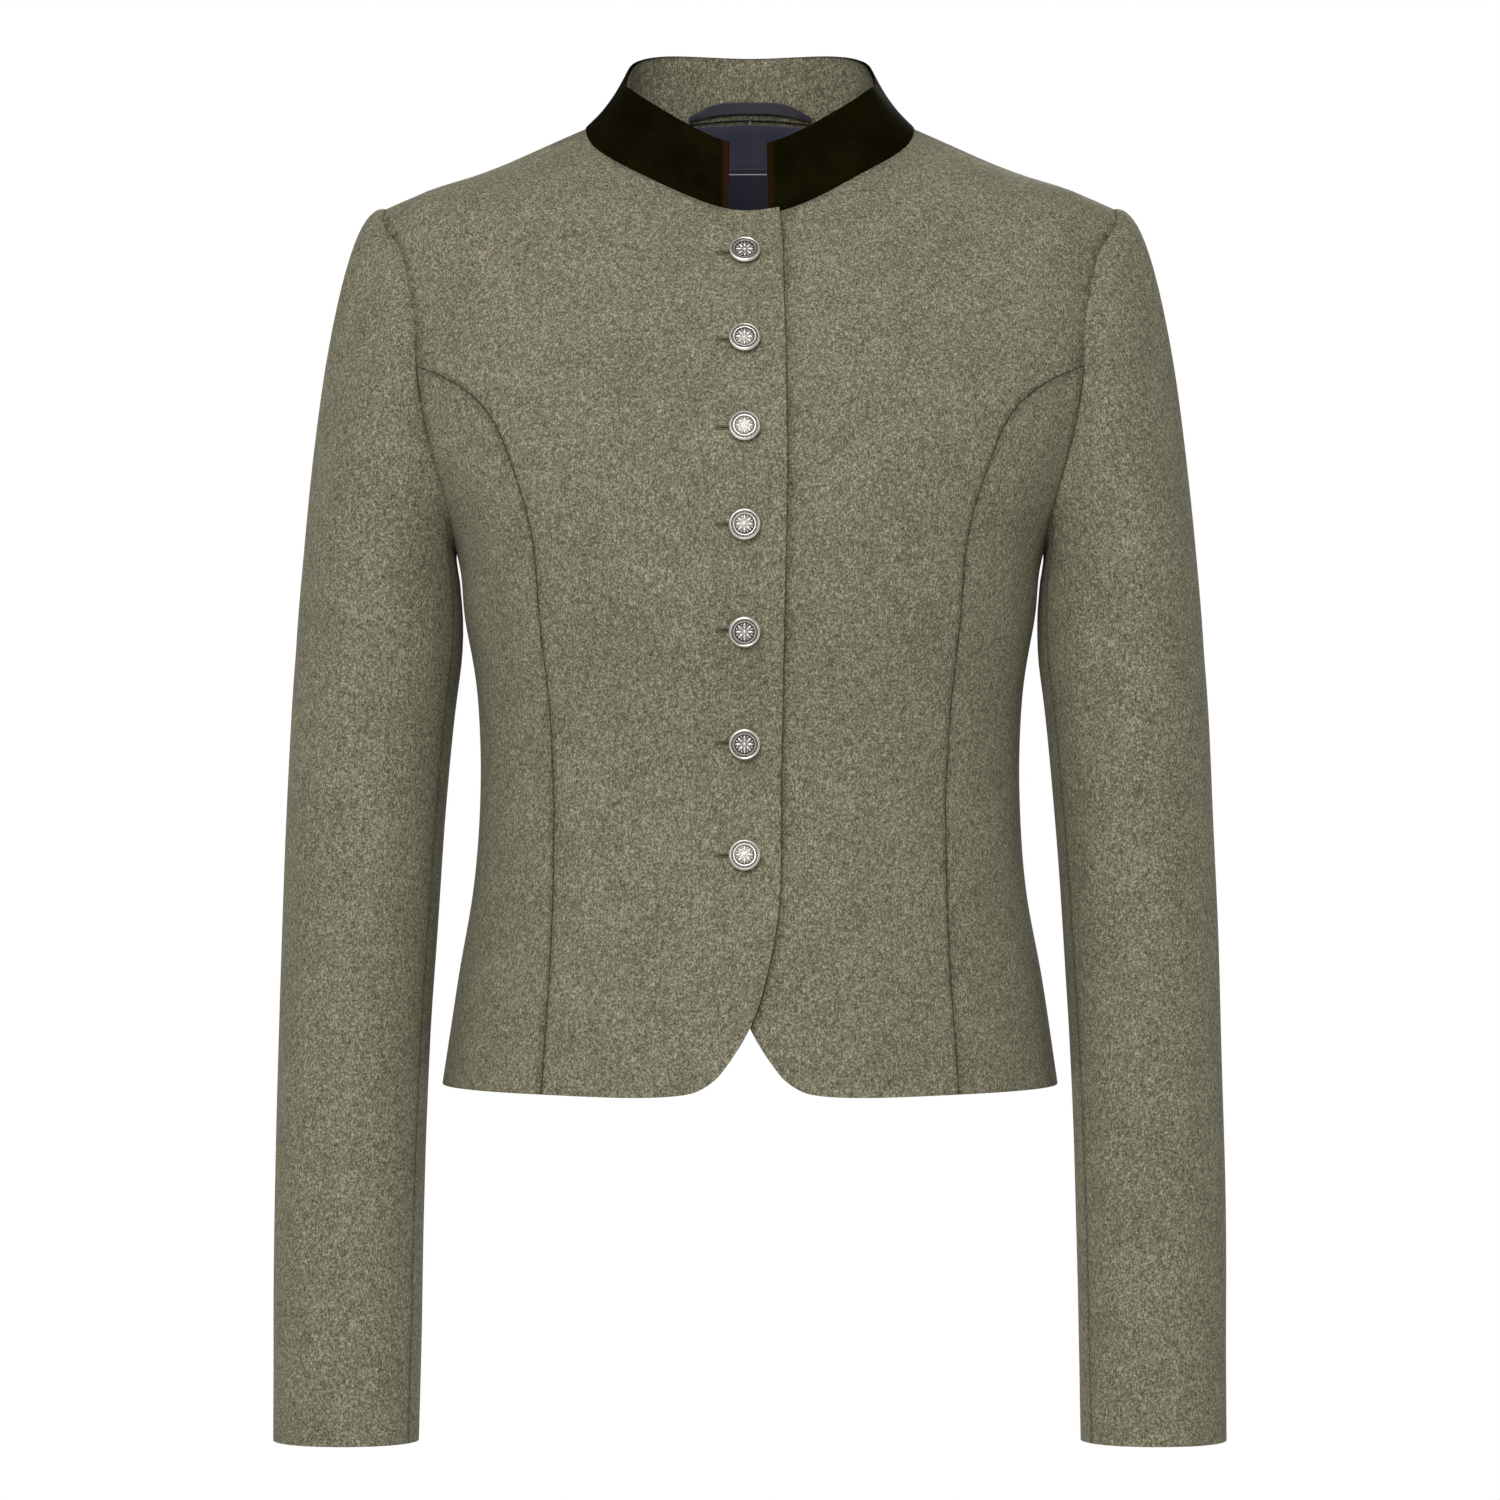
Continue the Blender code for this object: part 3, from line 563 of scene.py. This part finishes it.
def make_body_pieces(part, eased=False):
    """The same piece of the body for both sides."""
    for hand, mirrored in HANDS:
        node = f"{hand}_{part}"
        piece = cut_cloth(node)
        if eased:
            ease(piece, mirrored)
        wear(piece, BODY_CREASES, from_body_axis, mirrored)
        finish_cloth(piece, node, wool)


make_body_pieces("front", eased=True)

# The lap: the over front lies on the under front without stitches, and a soft band of
# the under front beside its turned edge is darkened with painted shadow.
LAP_SHADE = 0.75
LAP_SHADE_WIDTH = 0.0042
under, over = (bpy.data.objects[f"{hand}_front_cloth"] for hand, _ in HANDS)
edge_above = BVHTree.FromObject(over, bpy.context.evaluated_depsgraph_get())
shade = under.data.attributes["painted_shade"]
for vert in under.data.vertices:
    away = edge_above.find_nearest(vert.co, LAP_SHADE_WIDTH)[3]
    if away is not None:
        soft = LAP_SHADE * (1 - away / LAP_SHADE_WIDTH)
        shade.data[vert.index].value = max(shade.data[vert.index].value, soft)

# Side fronts and side backs: the panels on either side of the side seam, shaped to
# the waist. Plain seams pressed open join them, so only a fine groove shows, with painted
# shade in it.
SideCut = namedtuple("SideCut", "part flat area")
SIDE_CUTS = (
    SideCut("front_side", (0.115, 0.375), 0.0333),
    SideCut("back_side", (0.100, 0.365), 0.0276),
)
for cut in SIDE_CUTS:
    make_body_pieces(cut.part)

# Centre backs: two pieces of the same wool, joined by a pressed seam down the middle
# of the back and sewn to the fronts at the shoulders.
make_body_pieces("back", eased=True)

# Sleeves: each has a top sleeve and a narrower under sleeve, set into the armhole
# with a little ease over the shoulder. The elbow bends slightly to the front.
SleeveCut = namedtuple("SleeveCut", "part flat area")
SLEEVE_CUTS = (
    SleeveCut("top", (0.250, 0.650), 0.1240),
    SleeveCut("under", (0.105, 0.510), 0.0350),
)
ARMHOLE_REACH = 0.0011
FACES_DOWN = -0.5
MiddlePoint = namedtuple("MiddlePoint", "height across depth")
SLEEVE_MIDDLE = (
    MiddlePoint(-0.24, 0.190, 0.0),
    MiddlePoint(-0.42, 0.201, -0.012),
    MiddlePoint(-0.672, 0.206, -0.043),
)
SLEEVE_CREASES = (
    Crease((0.165, -0.050, -0.395), (0.215, -0.050, -0.375), 0.009, -0.0013),
    Crease((0.170, -0.055, -0.425), (0.212, -0.058, -0.418), 0.009, -0.0010),
    Crease((0.160, -0.045, -0.230), (0.205, -0.050, -0.275), 0.012, -0.0012),
    Crease((0.178, -0.055, -0.180), (0.208, -0.055, -0.225), 0.011, 0.0010),
    Crease((0.215, 0.035, -0.400), (0.180, 0.040, -0.430), 0.012, -0.0012),
    Crease((0.152, -0.040, -0.240), (0.152, 0.025, -0.240), 0.020, 0.0010),
)


def from_sleeve_axis(point):
    """Away from the middle line of the sleeve on this side."""
    side = 1 if point.x > 0 else -1
    middle = SLEEVE_MIDDLE[0]
    for high, low in zip(SLEEVE_MIDDLE, SLEEVE_MIDDLE[1:]):
        if point.z <= high.height:
            share = min((high.height - point.z) / (high.height - low.height), 1.0)
            middle = MiddlePoint(*(h + (l - h) * share for h, l in zip(high, low)))
    return Vector((point.x - side * middle.across, point.y - middle.depth, 0)).normalized()


def under_armhole(way):
    """The sleeve's top edge tucks under the armhole edge. Its seams only meet."""
    faces_up_or_in = abs(way.y) < SAME_WAY and way.z > FACES_DOWN
    return ARMHOLE_REACH if faces_up_or_in else SEAM_REACH


for hand, mirrored in HANDS:
    for cut in SLEEVE_CUTS:
        node = f"{hand}_sleeve_{cut.part}"
        sleeve = cut_cloth(node, under_armhole)
        wear(sleeve, SLEEVE_CREASES, from_sleeve_axis, mirrored)
        finish_cloth(sleeve, node, wool)

# Stand collar: near-black velvet on its outer face, with a short upright pile,
# and the body's wool on its inner face. It stops short of the centre front.
VELVET_DEEP = (0.0024, 0.0020, 0.0004)
VELVET_PILE = (0.0082, 0.0072, 0.0010)
VELVET_END_SHEEN = (0.034, 0.0115, 0.0035)
COLLAR_REACH = 0.0009
INNER_REACH = 0.0022
VELVET_TONES = ((0.4, VELVET_DEEP), (0.62, VELVET_PILE))
VELVET_ROUGHNESS = 0.85
VELVET_GLOSS = 0.02
VELVET_SHEEN = 0.015
VELVET_SHEEN_SPREAD = 0.35
VELVET_SHEEN_TINT = (0.5, 0.46, 0.1, 1)
PILE_SCALE = 1400.0
BRUSHED_SCALE = 45.0
PILE_DEPTH = 0.0005
PILE_STRENGTH = 0.5
# Painted sheen: a browner tint in a band at each end of the collar's face, where the pile
# rolls over the rounded ends
EndSheen = namedtuple("EndSheen", "place width strength")
END_SHEENS = (EndSheen(-0.0122, 0.0028, 0.80), EndSheen(0.0102, 0.0030, 0.38))


def add_paint(nodes, links, colour, over, share):
    """One colour laid over another, by a share."""
    mix = nodes.new("ShaderNodeMix")
    mix.data_type = "RGBA"
    mix.inputs["B"].default_value = (*over, 1)
    links.new(share, mix.inputs["Factor"])
    links.new(colour, mix.inputs["A"])
    return mix.outputs["Result"]


velvet, nodes, links, shader, place = new_finish("dark_velvet", VELVET_ROUGHNESS)
pile = add_noise(nodes, links, place, PILE_SCALE)
brushed = add_noise(nodes, links, place, BRUSHED_SCALE)
tone = add_sum(nodes, links, ((pile, 0.5), (brushed, 0.5)))
colour = add_ramp(nodes, links, tone, VELVET_TONES)
parts = nodes.new("ShaderNodeSeparateXYZ")
links.new(place, parts.inputs["Vector"])
in_front = add_math(nodes, links, "LESS_THAN", parts.outputs["Y"], 0.0)
# Each end gets its band of painted sheen, on the front only.
for end in END_SHEENS:
    away = add_math(nodes, links, "SUBTRACT", parts.outputs["X"], end.place)
    away = add_math(nodes, links, "ABSOLUTE", away, 0.0)
    away = add_math(nodes, links, "DIVIDE", away, end.width)
    close = add_math(nodes, links, "SUBTRACT", 1.0, away)
    close = add_math(nodes, links, "MAXIMUM", close, 0.0)
    share = add_math(nodes, links, "MULTIPLY", close, in_front)
    share = add_math(nodes, links, "MULTIPLY", share, end.strength)
    colour = add_paint(nodes, links, colour, VELVET_END_SHEEN, share)
links.new(colour, shader.inputs["Base Color"])
shader.inputs["Specular IOR Level"].default_value = VELVET_GLOSS
shader.inputs["Sheen Weight"].default_value = VELVET_SHEEN
shader.inputs["Sheen Roughness"].default_value = VELVET_SHEEN_SPREAD
shader.inputs["Sheen Tint"].default_value = VELVET_SHEEN_TINT
add_bump(nodes, links, shader, pile, PILE_DEPTH, PILE_STRENGTH)


def down_by(reach):
    """Lets a collar reach down to the neckline, and keeps its top and its ends."""
    return lambda way: reach if way.z < FACES_DOWN else 0.0


outer_collar = cut_cloth("collar_velvet", down_by(COLLAR_REACH))
finish_cloth(outer_collar, "collar_velvet", velvet)
inner_collar = cut_cloth("collar_inner", down_by(INNER_REACH))
finish_cloth(inner_collar, "collar_inner", wool)

# Back neck lining, label and hanging loop: navy satin twill, felled to the neck
# seam. The label is a bare navy ribbon with one light woven line near its top.
NAVY_LOW = (0.036, 0.036, 0.055)
NAVY_HIGH = (0.068, 0.067, 0.100)
RIBBON_LOW = (0.021, 0.022, 0.036)
RIBBON_HIGH = (0.036, 0.037, 0.060)
BAND_LOW = (0.009, 0.0083, 0.017)
BAND_HIGH = (0.021, 0.0193, 0.034)
WOVEN_LINE = (0.62, 0.62, 0.66)
WOVEN_LINE_HEIGHT = -0.0196
WOVEN_LINE_WIDTH = 0.00042
TWILL_SCALE = 900.0
TWILL_SHARE = 0.4
TWILL_UNEVEN = 0.6
TWILL_DEPTH = 0.0001
TWILL_STRENGTH = 0.3
CLOUDY_SCALE = 60.0
NAVY_ROUGHNESS = 0.48
NAVY_GLOSS = 0.35
LINING_REACH = 0.0008


def make_navy(name, low, high, line_height=None):
    """Navy satin twill between two tones, with a light line where a height is given."""
    finish, nodes, links, shader, place = new_finish(name, NAVY_ROUGHNESS)
    twill = nodes.new("ShaderNodeTexWave")
    twill.bands_direction = "DIAGONAL"
    twill.inputs["Scale"].default_value = TWILL_SCALE
    twill.inputs["Distortion"].default_value = TWILL_UNEVEN
    links.new(place, twill.inputs["Vector"])
    cloudy = add_noise(nodes, links, place, CLOUDY_SCALE)
    tone = add_sum(nodes, links, (
        (twill.outputs["Fac"], TWILL_SHARE), (cloudy, 1 - TWILL_SHARE)))
    colour = add_ramp(nodes, links, tone, ((0.25, low), (0.75, high)))
    if line_height is not None:
        parts = nodes.new("ShaderNodeSeparateXYZ")
        links.new(place, parts.inputs["Vector"])
        away = add_math(nodes, links, "SUBTRACT", parts.outputs["Z"], line_height)
        away = add_math(nodes, links, "ABSOLUTE", away, 0.0)
        on_line = add_math(nodes, links, "LESS_THAN", away, WOVEN_LINE_WIDTH / 2)
        colour = add_paint(nodes, links, colour, WOVEN_LINE, on_line)
    links.new(colour, shader.inputs["Base Color"])
    shader.inputs["Specular IOR Level"].default_value = NAVY_GLOSS
    add_bump(nodes, links, shader, twill.outputs["Fac"], TWILL_DEPTH, TWILL_STRENGTH)
    return finish


def to_middle_seam(way):
    """The two lining halves meet in the middle, and keep their other edges."""
    return LINING_REACH if abs(way.x) > SAME_WAY else SEAM_REACH


navy = make_navy("navy_twill", NAVY_LOW, NAVY_HIGH)
navy_label = make_navy("navy_ribbon", RIBBON_LOW, RIBBON_HIGH, WOVEN_LINE_HEIGHT)
navy_band = make_navy("navy_band", BAND_LOW, BAND_HIGH)
for hand, _ in HANDS:
    node = f"{hand}_neck_lining"
    lining = cut_cloth(node, to_middle_seam)
    finish_cloth(lining, node, navy)
label = cut_cloth("neck_label")
finish_cloth(label, "neck_label", navy_label)
loop = cut_cloth("hanging_loop")
finish_cloth(loop, "hanging_loop", navy_band)

# Buttons: cast shank buttons in antique silver colour, seven alike. Each has a raised
# rim, a string of pearls, a fine ring, and a rosette of petals on a darkened ground.
MM = 0.001
BUTTON_COUNT = 7
BUTTON_SIDES = 56
BUTTON_TOP = 4.1 * MM
BUTTON_CRISP = math.radians(35)
Turn = namedtuple("Turn", "radius height")
BUTTON_TURNS = (
    Turn(1.2, 3.55), Turn(5.15, 3.30), Turn(5.25, 3.72), Turn(5.60, 3.74), Turn(5.72, 3.30),
    Turn(6.55, 3.28), Turn(6.68, 3.90), Turn(7.05, 4.10), Turn(7.45, 4.00), Turn(7.80, 3.60),
    Turn(8.00, 3.10), Turn(7.90, 2.70), Turn(7.00, 2.00), Turn(2.60, 1.70), Turn(2.40, 0.50),
)
PETALS = 8
PETAL_PLACE = (3.0 * MM, 0, 3.38 * MM)
PETAL_SIZE = (1.75 * MM, 0.72 * MM, 0.62 * MM)
LEAF_PLACE = (4.05 * MM, 0, 3.34 * MM)
LEAF_SIZE = (0.80 * MM, 0.34 * MM, 0.45 * MM)
PEARLS = 44
PEARL_PLACE = (6.13 * MM, 0, 3.32 * MM)
PEARL_SIZE = (0.30 * MM, 0.32 * MM, 0.36 * MM)
MIDDLE_PLACE = (0, 0, 3.55 * MM)
MIDDLE_SIZE = (0.95 * MM, 0.95 * MM, 0.50 * MM)
COARSE = (8, 6)
TARNISH_HEIGHT = 3.72 * MM
TARNISH_DEPTH = 0.36 * MM
TARNISH_RADIUS = 6.62 * MM
SILVER_BRIGHT = (0.80, 0.78, 0.72)
SILVER_DULL = (0.075, 0.070, 0.060)
SILVER_TONES = ((0.12, SILVER_BRIGHT), (0.95, SILVER_DULL))
SILVER_ROUGHNESS = 0.38
TARNISH_SHARE = 0.92
PATCHY_SHARE = 0.25
PATCHY_SCALE = 900.0
PATCHY_DETAIL = 3.0
FACES_OUT = 0.3
FACING_ROUNDS = 4


def turned_disc(name, turns, sides):
    """A round piece that widens and narrows from its top middle down to its foot."""
    bpy.ops.mesh.primitive_circle_add(
        vertices=sides, radius=turns[0].radius * MM, fill_type="NGON",
        location=(0, 0, turns[0].height * MM))
    disc = bpy.context.object
    disc.name = name
    bpy.ops.object.transform_apply(location=True)
    all_in_edit(disc)
    bpy.ops.mesh.select_mode(type="EDGE")
    bpy.ops.mesh.region_to_loop()
    for last, turn in zip(turns, turns[1:]):
        grow = turn.radius / last.radius
        bpy.ops.mesh.extrude_edges_move()
        bpy.ops.transform.resize(value=(grow, grow, 1), center_override=(0, 0, 0))
        bpy.ops.transform.translate(value=(0, 0, (turn.height - last.height) * MM))
    bpy.ops.mesh.edge_face_add()
    bpy.ops.mesh.select_all(action="SELECT")
    bpy.ops.mesh.normals_make_consistent(inside=False)
    bpy.ops.object.mode_set(mode="OBJECT")
    return disc


def add_bead(name, place, size, turn=0.0, detail=(14, 8)):
    """A rounded lump of cast metal or thread, of its own length, width and height."""
    bpy.ops.mesh.primitive_uv_sphere_add(segments=detail[0], ring_count=detail[1], radius=1)
    bead = bpy.context.object
    bead.name = name
    around = Matrix.Rotation(turn, 4, "Z")
    bead.data.transform(around @ Matrix.Translation(place) @ Matrix.Diagonal((*size, 1)))
    return bead


def join(first, others):
    """Makes one piece of several, under the first one's name."""
    bpy.ops.object.select_all(action="DESELECT")
    for piece in (*others, first):
        piece.select_set(True)
    bpy.context.view_layer.objects.active = first
    bpy.ops.object.join()


def copies_around(piece, count):
    """Copies of a piece turned round the middle, the first place left to the piece."""
    made = []
    for step in range(1, count):
        shape = piece.data.copy()
        shape.transform(Matrix.Rotation(math.tau * step / count, 4, "Z"))
        made.append(bpy.data.objects.new(f"{piece.name}_{step}", shape))
        bpy.context.scene.collection.objects.link(made[-1])
    return [piece, *made]


def make_button():
    """One button round the origin, with an attribute that marks its darkened ground."""
    button = turned_disc("button_cast", BUTTON_TURNS, BUTTON_SIDES)
    petal = add_bead("petal", PETAL_PLACE, PETAL_SIZE)
    leaf = add_bead("leaf", LEAF_PLACE, LEAF_SIZE, math.pi / PETALS)
    pearl = add_bead("pearl", PEARL_PLACE, PEARL_SIZE, detail=COARSE)
    middle = add_bead("middle", MIDDLE_PLACE, MIDDLE_SIZE)
    join(button, [*copies_around(petal, PETALS), *copies_around(leaf, PETALS),
                  *copies_around(pearl, PEARLS), middle])
    dull = button.data.attributes.new("tarnish", "FLOAT", "POINT")
    for vert in button.data.vertices:
        radius = math.hypot(vert.co.x, vert.co.y)
        low = (TARNISH_HEIGHT - vert.co.z) / TARNISH_DEPTH
        if radius > TARNISH_RADIUS:
            low = 0.0
        dull.data[vert.index].value = min(max(low, 0.0), 1.0)
    return button


silver, nodes, links, shader, place = new_finish("antique_silver", SILVER_ROUGHNESS, 1.0)
worn = nodes.new("ShaderNodeAttribute")
worn.attribute_name = "tarnish"
patchy = add_noise(nodes, links, place, PATCHY_SCALE, PATCHY_DETAIL)
amount = add_sum(nodes, links, ((worn.outputs["Fac"], TARNISH_SHARE), (patchy, PATCHY_SHARE)))
links.new(add_ramp(nodes, links, amount, SILVER_TONES), shader.inputs["Base Color"])


def button_matrix(node):
    """Where a button's solid stands, and which way it faces."""
    solid = node.data
    axis = Vector((0, -1, 0))
    for _ in range(FACING_ROUNDS):
        facing = [face for face in solid.polygons if face.normal.dot(axis) > FACES_OUT]
        axis = sum((face.normal * face.area for face in facing), Vector()).normalized()
    middle = sum((vert.co for vert in solid.vertices), Vector()) / len(solid.vertices)
    top = max(vert.co.dot(axis) for vert in solid.vertices)
    seat = middle + axis * (top - BUTTON_TOP - middle.dot(axis))
    return Matrix.Translation(seat) @ axis.to_track_quat("Z", "Y").to_matrix().to_4x4()


first_button = make_button()
button_places = []
for number in range(1, BUTTON_COUNT + 1):
    node = f"button_{number}"
    matrix = button_matrix(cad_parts[node])
    button_places.append(matrix.translation.copy())
    shape = first_button.data.copy()
    shape.transform(matrix)
    button = bpy.data.objects.new(f"{node}_cast", shape)
    bpy.context.scene.collection.objects.link(button)
    select_only(button)
    bpy.ops.object.shade_smooth_by_angle(angle=BUTTON_CRISP)
    button.data.materials.append(silver)
    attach(button, "root")
    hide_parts(node)
bpy.data.objects.remove(first_button)

# Buttonholes: worked by machine in grey-green thread, level with each button's middle.
# The back end of each one and its bar tack show beside the button, and a dark strip of
# painted shade lies in the slit.
HOLE_START = -16.2 * MM
HOLE_END = 1.5 * MM
STITCH_STEP = 0.56 * MM
STITCH_SIZE = (0.25 * MM, 0.56 * MM, 0.24 * MM)
STITCH_AWAY = 0.78 * MM
STITCH_HEIGHT = 0.12 * MM
SLIT_SIZE = (8.6 * MM, 0.30 * MM, 0.10 * MM)
SLIT_HEIGHT = 0.06 * MM
SLIT_DETAIL = (16, 24)
TACK_SIZE = (0.24 * MM, 0.95 * MM, 0.30 * MM)
TACK_PLACE = (HOLE_START - 0.2 * MM, 0, 0.14 * MM)
TACK_STEP = 0.42 * MM
TACK_DETAIL = (8, 8)
TACK_BARS = 3
THREAD_LOW = (0.052, 0.060, 0.036)
THREAD_HIGH = (0.135, 0.145, 0.092)
THREAD_TONES = ((0.35, THREAD_LOW), (0.65, THREAD_HIGH))
THREAD_ROUGHNESS = 0.7
THREAD_GLOSS = 0.25
STRAND_SCALE = 3000.0
# How much painted shade darkens the thread colour of the slit strip
SLIT_SHADE = 0.93
BEFORE_FRONT = -0.5

thread, nodes, links, shader, place = new_finish("sewing_thread", THREAD_ROUGHNESS)
strands = add_noise(nodes, links, place, STRAND_SCALE)
colour = add_ramp(nodes, links, strands, THREAD_TONES)
links.new(add_painted_shade(nodes, links, colour, SLIT_SHADE), shader.inputs["Base Color"])
shader.inputs["Specular IOR Level"].default_value = THREAD_GLOSS


def copy_by(piece, move):
    """A copy of a piece, moved."""
    shape = piece.data.copy()
    shape.transform(Matrix.Translation(move))
    made = bpy.data.objects.new(f"{piece.name}_copy", shape)
    bpy.context.scene.collection.objects.link(made)
    return made


def lay_on(piece, cloths, start):
    """Lays flat sewing on the cloth that lies behind it: each height is then counted
    from the cloth. What overhangs an edge stays level with the sewing beside it."""
    view = bpy.context.evaluated_depsgraph_get()
    grounds = [BVHTree.FromObject(cloth, view) for cloth in cloths]
    level = None
    for vert in piece.data.vertices:
        ray = Vector((vert.co.x, start, vert.co.z))
        met = [ground.ray_cast(ray, Vector((0, 1, 0)))[0] for ground in grounds]
        met = [place.y for place in met if place]
        level = min(met) if met else level
        vert.co.y += level


def finish_sewing(piece):
    select_only(piece)
    bpy.ops.object.shade_smooth()
    piece.data.materials.append(thread)
    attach(piece, "root")


def make_buttonhole():
    """A dark strip of painted shade for the slit between two rows of stitches, with a bar
    tack at its back end.
    """
    slit = add_bead("slit", (0, 0, 0), SLIT_SIZE, detail=SLIT_DETAIL)
    slit.data.transform(Matrix.Translation(((HOLE_START + HOLE_END) / 2, 0, SLIT_HEIGHT)))
    # The whole slit strip is marked for full painted shade.
    dark = slit.data.attributes.new("painted_shade", "FLOAT", "POINT")
    for value in dark.data:
        value.value = 1.0
    stitch = add_bead("stitch", (0, 0, STITCH_HEIGHT), STITCH_SIZE, detail=COARSE)
    tack = add_bead("tack", TACK_PLACE, TACK_SIZE, detail=TACK_DETAIL)
    sewn = [tack] + [copy_by(tack, (-TACK_STEP * bar, 0, 0)) for bar in range(1, TACK_BARS)]
    for step in range(int((HOLE_END - HOLE_START) / STITCH_STEP) + 1):
        along = HOLE_START + step * STITCH_STEP
        for side in (-1, 1):
            sewn.append(copy_by(stitch, (along, side * STITCH_AWAY, 0)))
    bpy.data.objects.remove(stitch)
    join(slit, sewn)
    slit.data.transform(Matrix.Rotation(math.radians(90), 4, "X"))
    return slit


first_hole = make_buttonhole()
for number, place in enumerate(button_places, 1):
    hole = copy_by(first_hole, (0, 0, place.z))
    hole.name = f"buttonhole_{number}"
    lay_on(hole, [over], BEFORE_FRONT)
    finish_sewing(hole)
bpy.data.objects.remove(first_hole)

# Pick stitches: small hand stitches in the same thread, along the lower edge of the
# inner collar, just above the neck lining, where it is felled down.
PICK_HEIGHT = 8.9 * MM
PICK_ENDS = (-0.0205, 0.0175)
PICK_STEP = 1.55 * MM
PICK_SIZE = (0.30 * MM, 0.72 * MM, 0.24 * MM)
PICK_PROUD = 0.05 * MM
INSIDE_NECK = 0.0

picks = []
pick = add_bead("pick", (0, 0, PICK_PROUD), PICK_SIZE, detail=COARSE)
for step in range(int((PICK_ENDS[1] - PICK_ENDS[0]) / PICK_STEP) + 1):
    picks.append(copy_by(pick, (PICK_ENDS[0] + step * PICK_STEP, 0, 0)))
bpy.data.objects.remove(pick)
row = picks[0]
join(row, picks[1:])
row.name = "pick_stitches"
upright = Matrix.Rotation(math.radians(90), 4, "X")
row.data.transform(Matrix.Translation((0, 0, PICK_HEIGHT)) @ upright)
backs = [bpy.data.objects[f"{hand}_back_cloth"] for hand, _ in HANDS]
lay_on(row, [inner_collar, *backs], INSIDE_NECK)
finish_sewing(row)
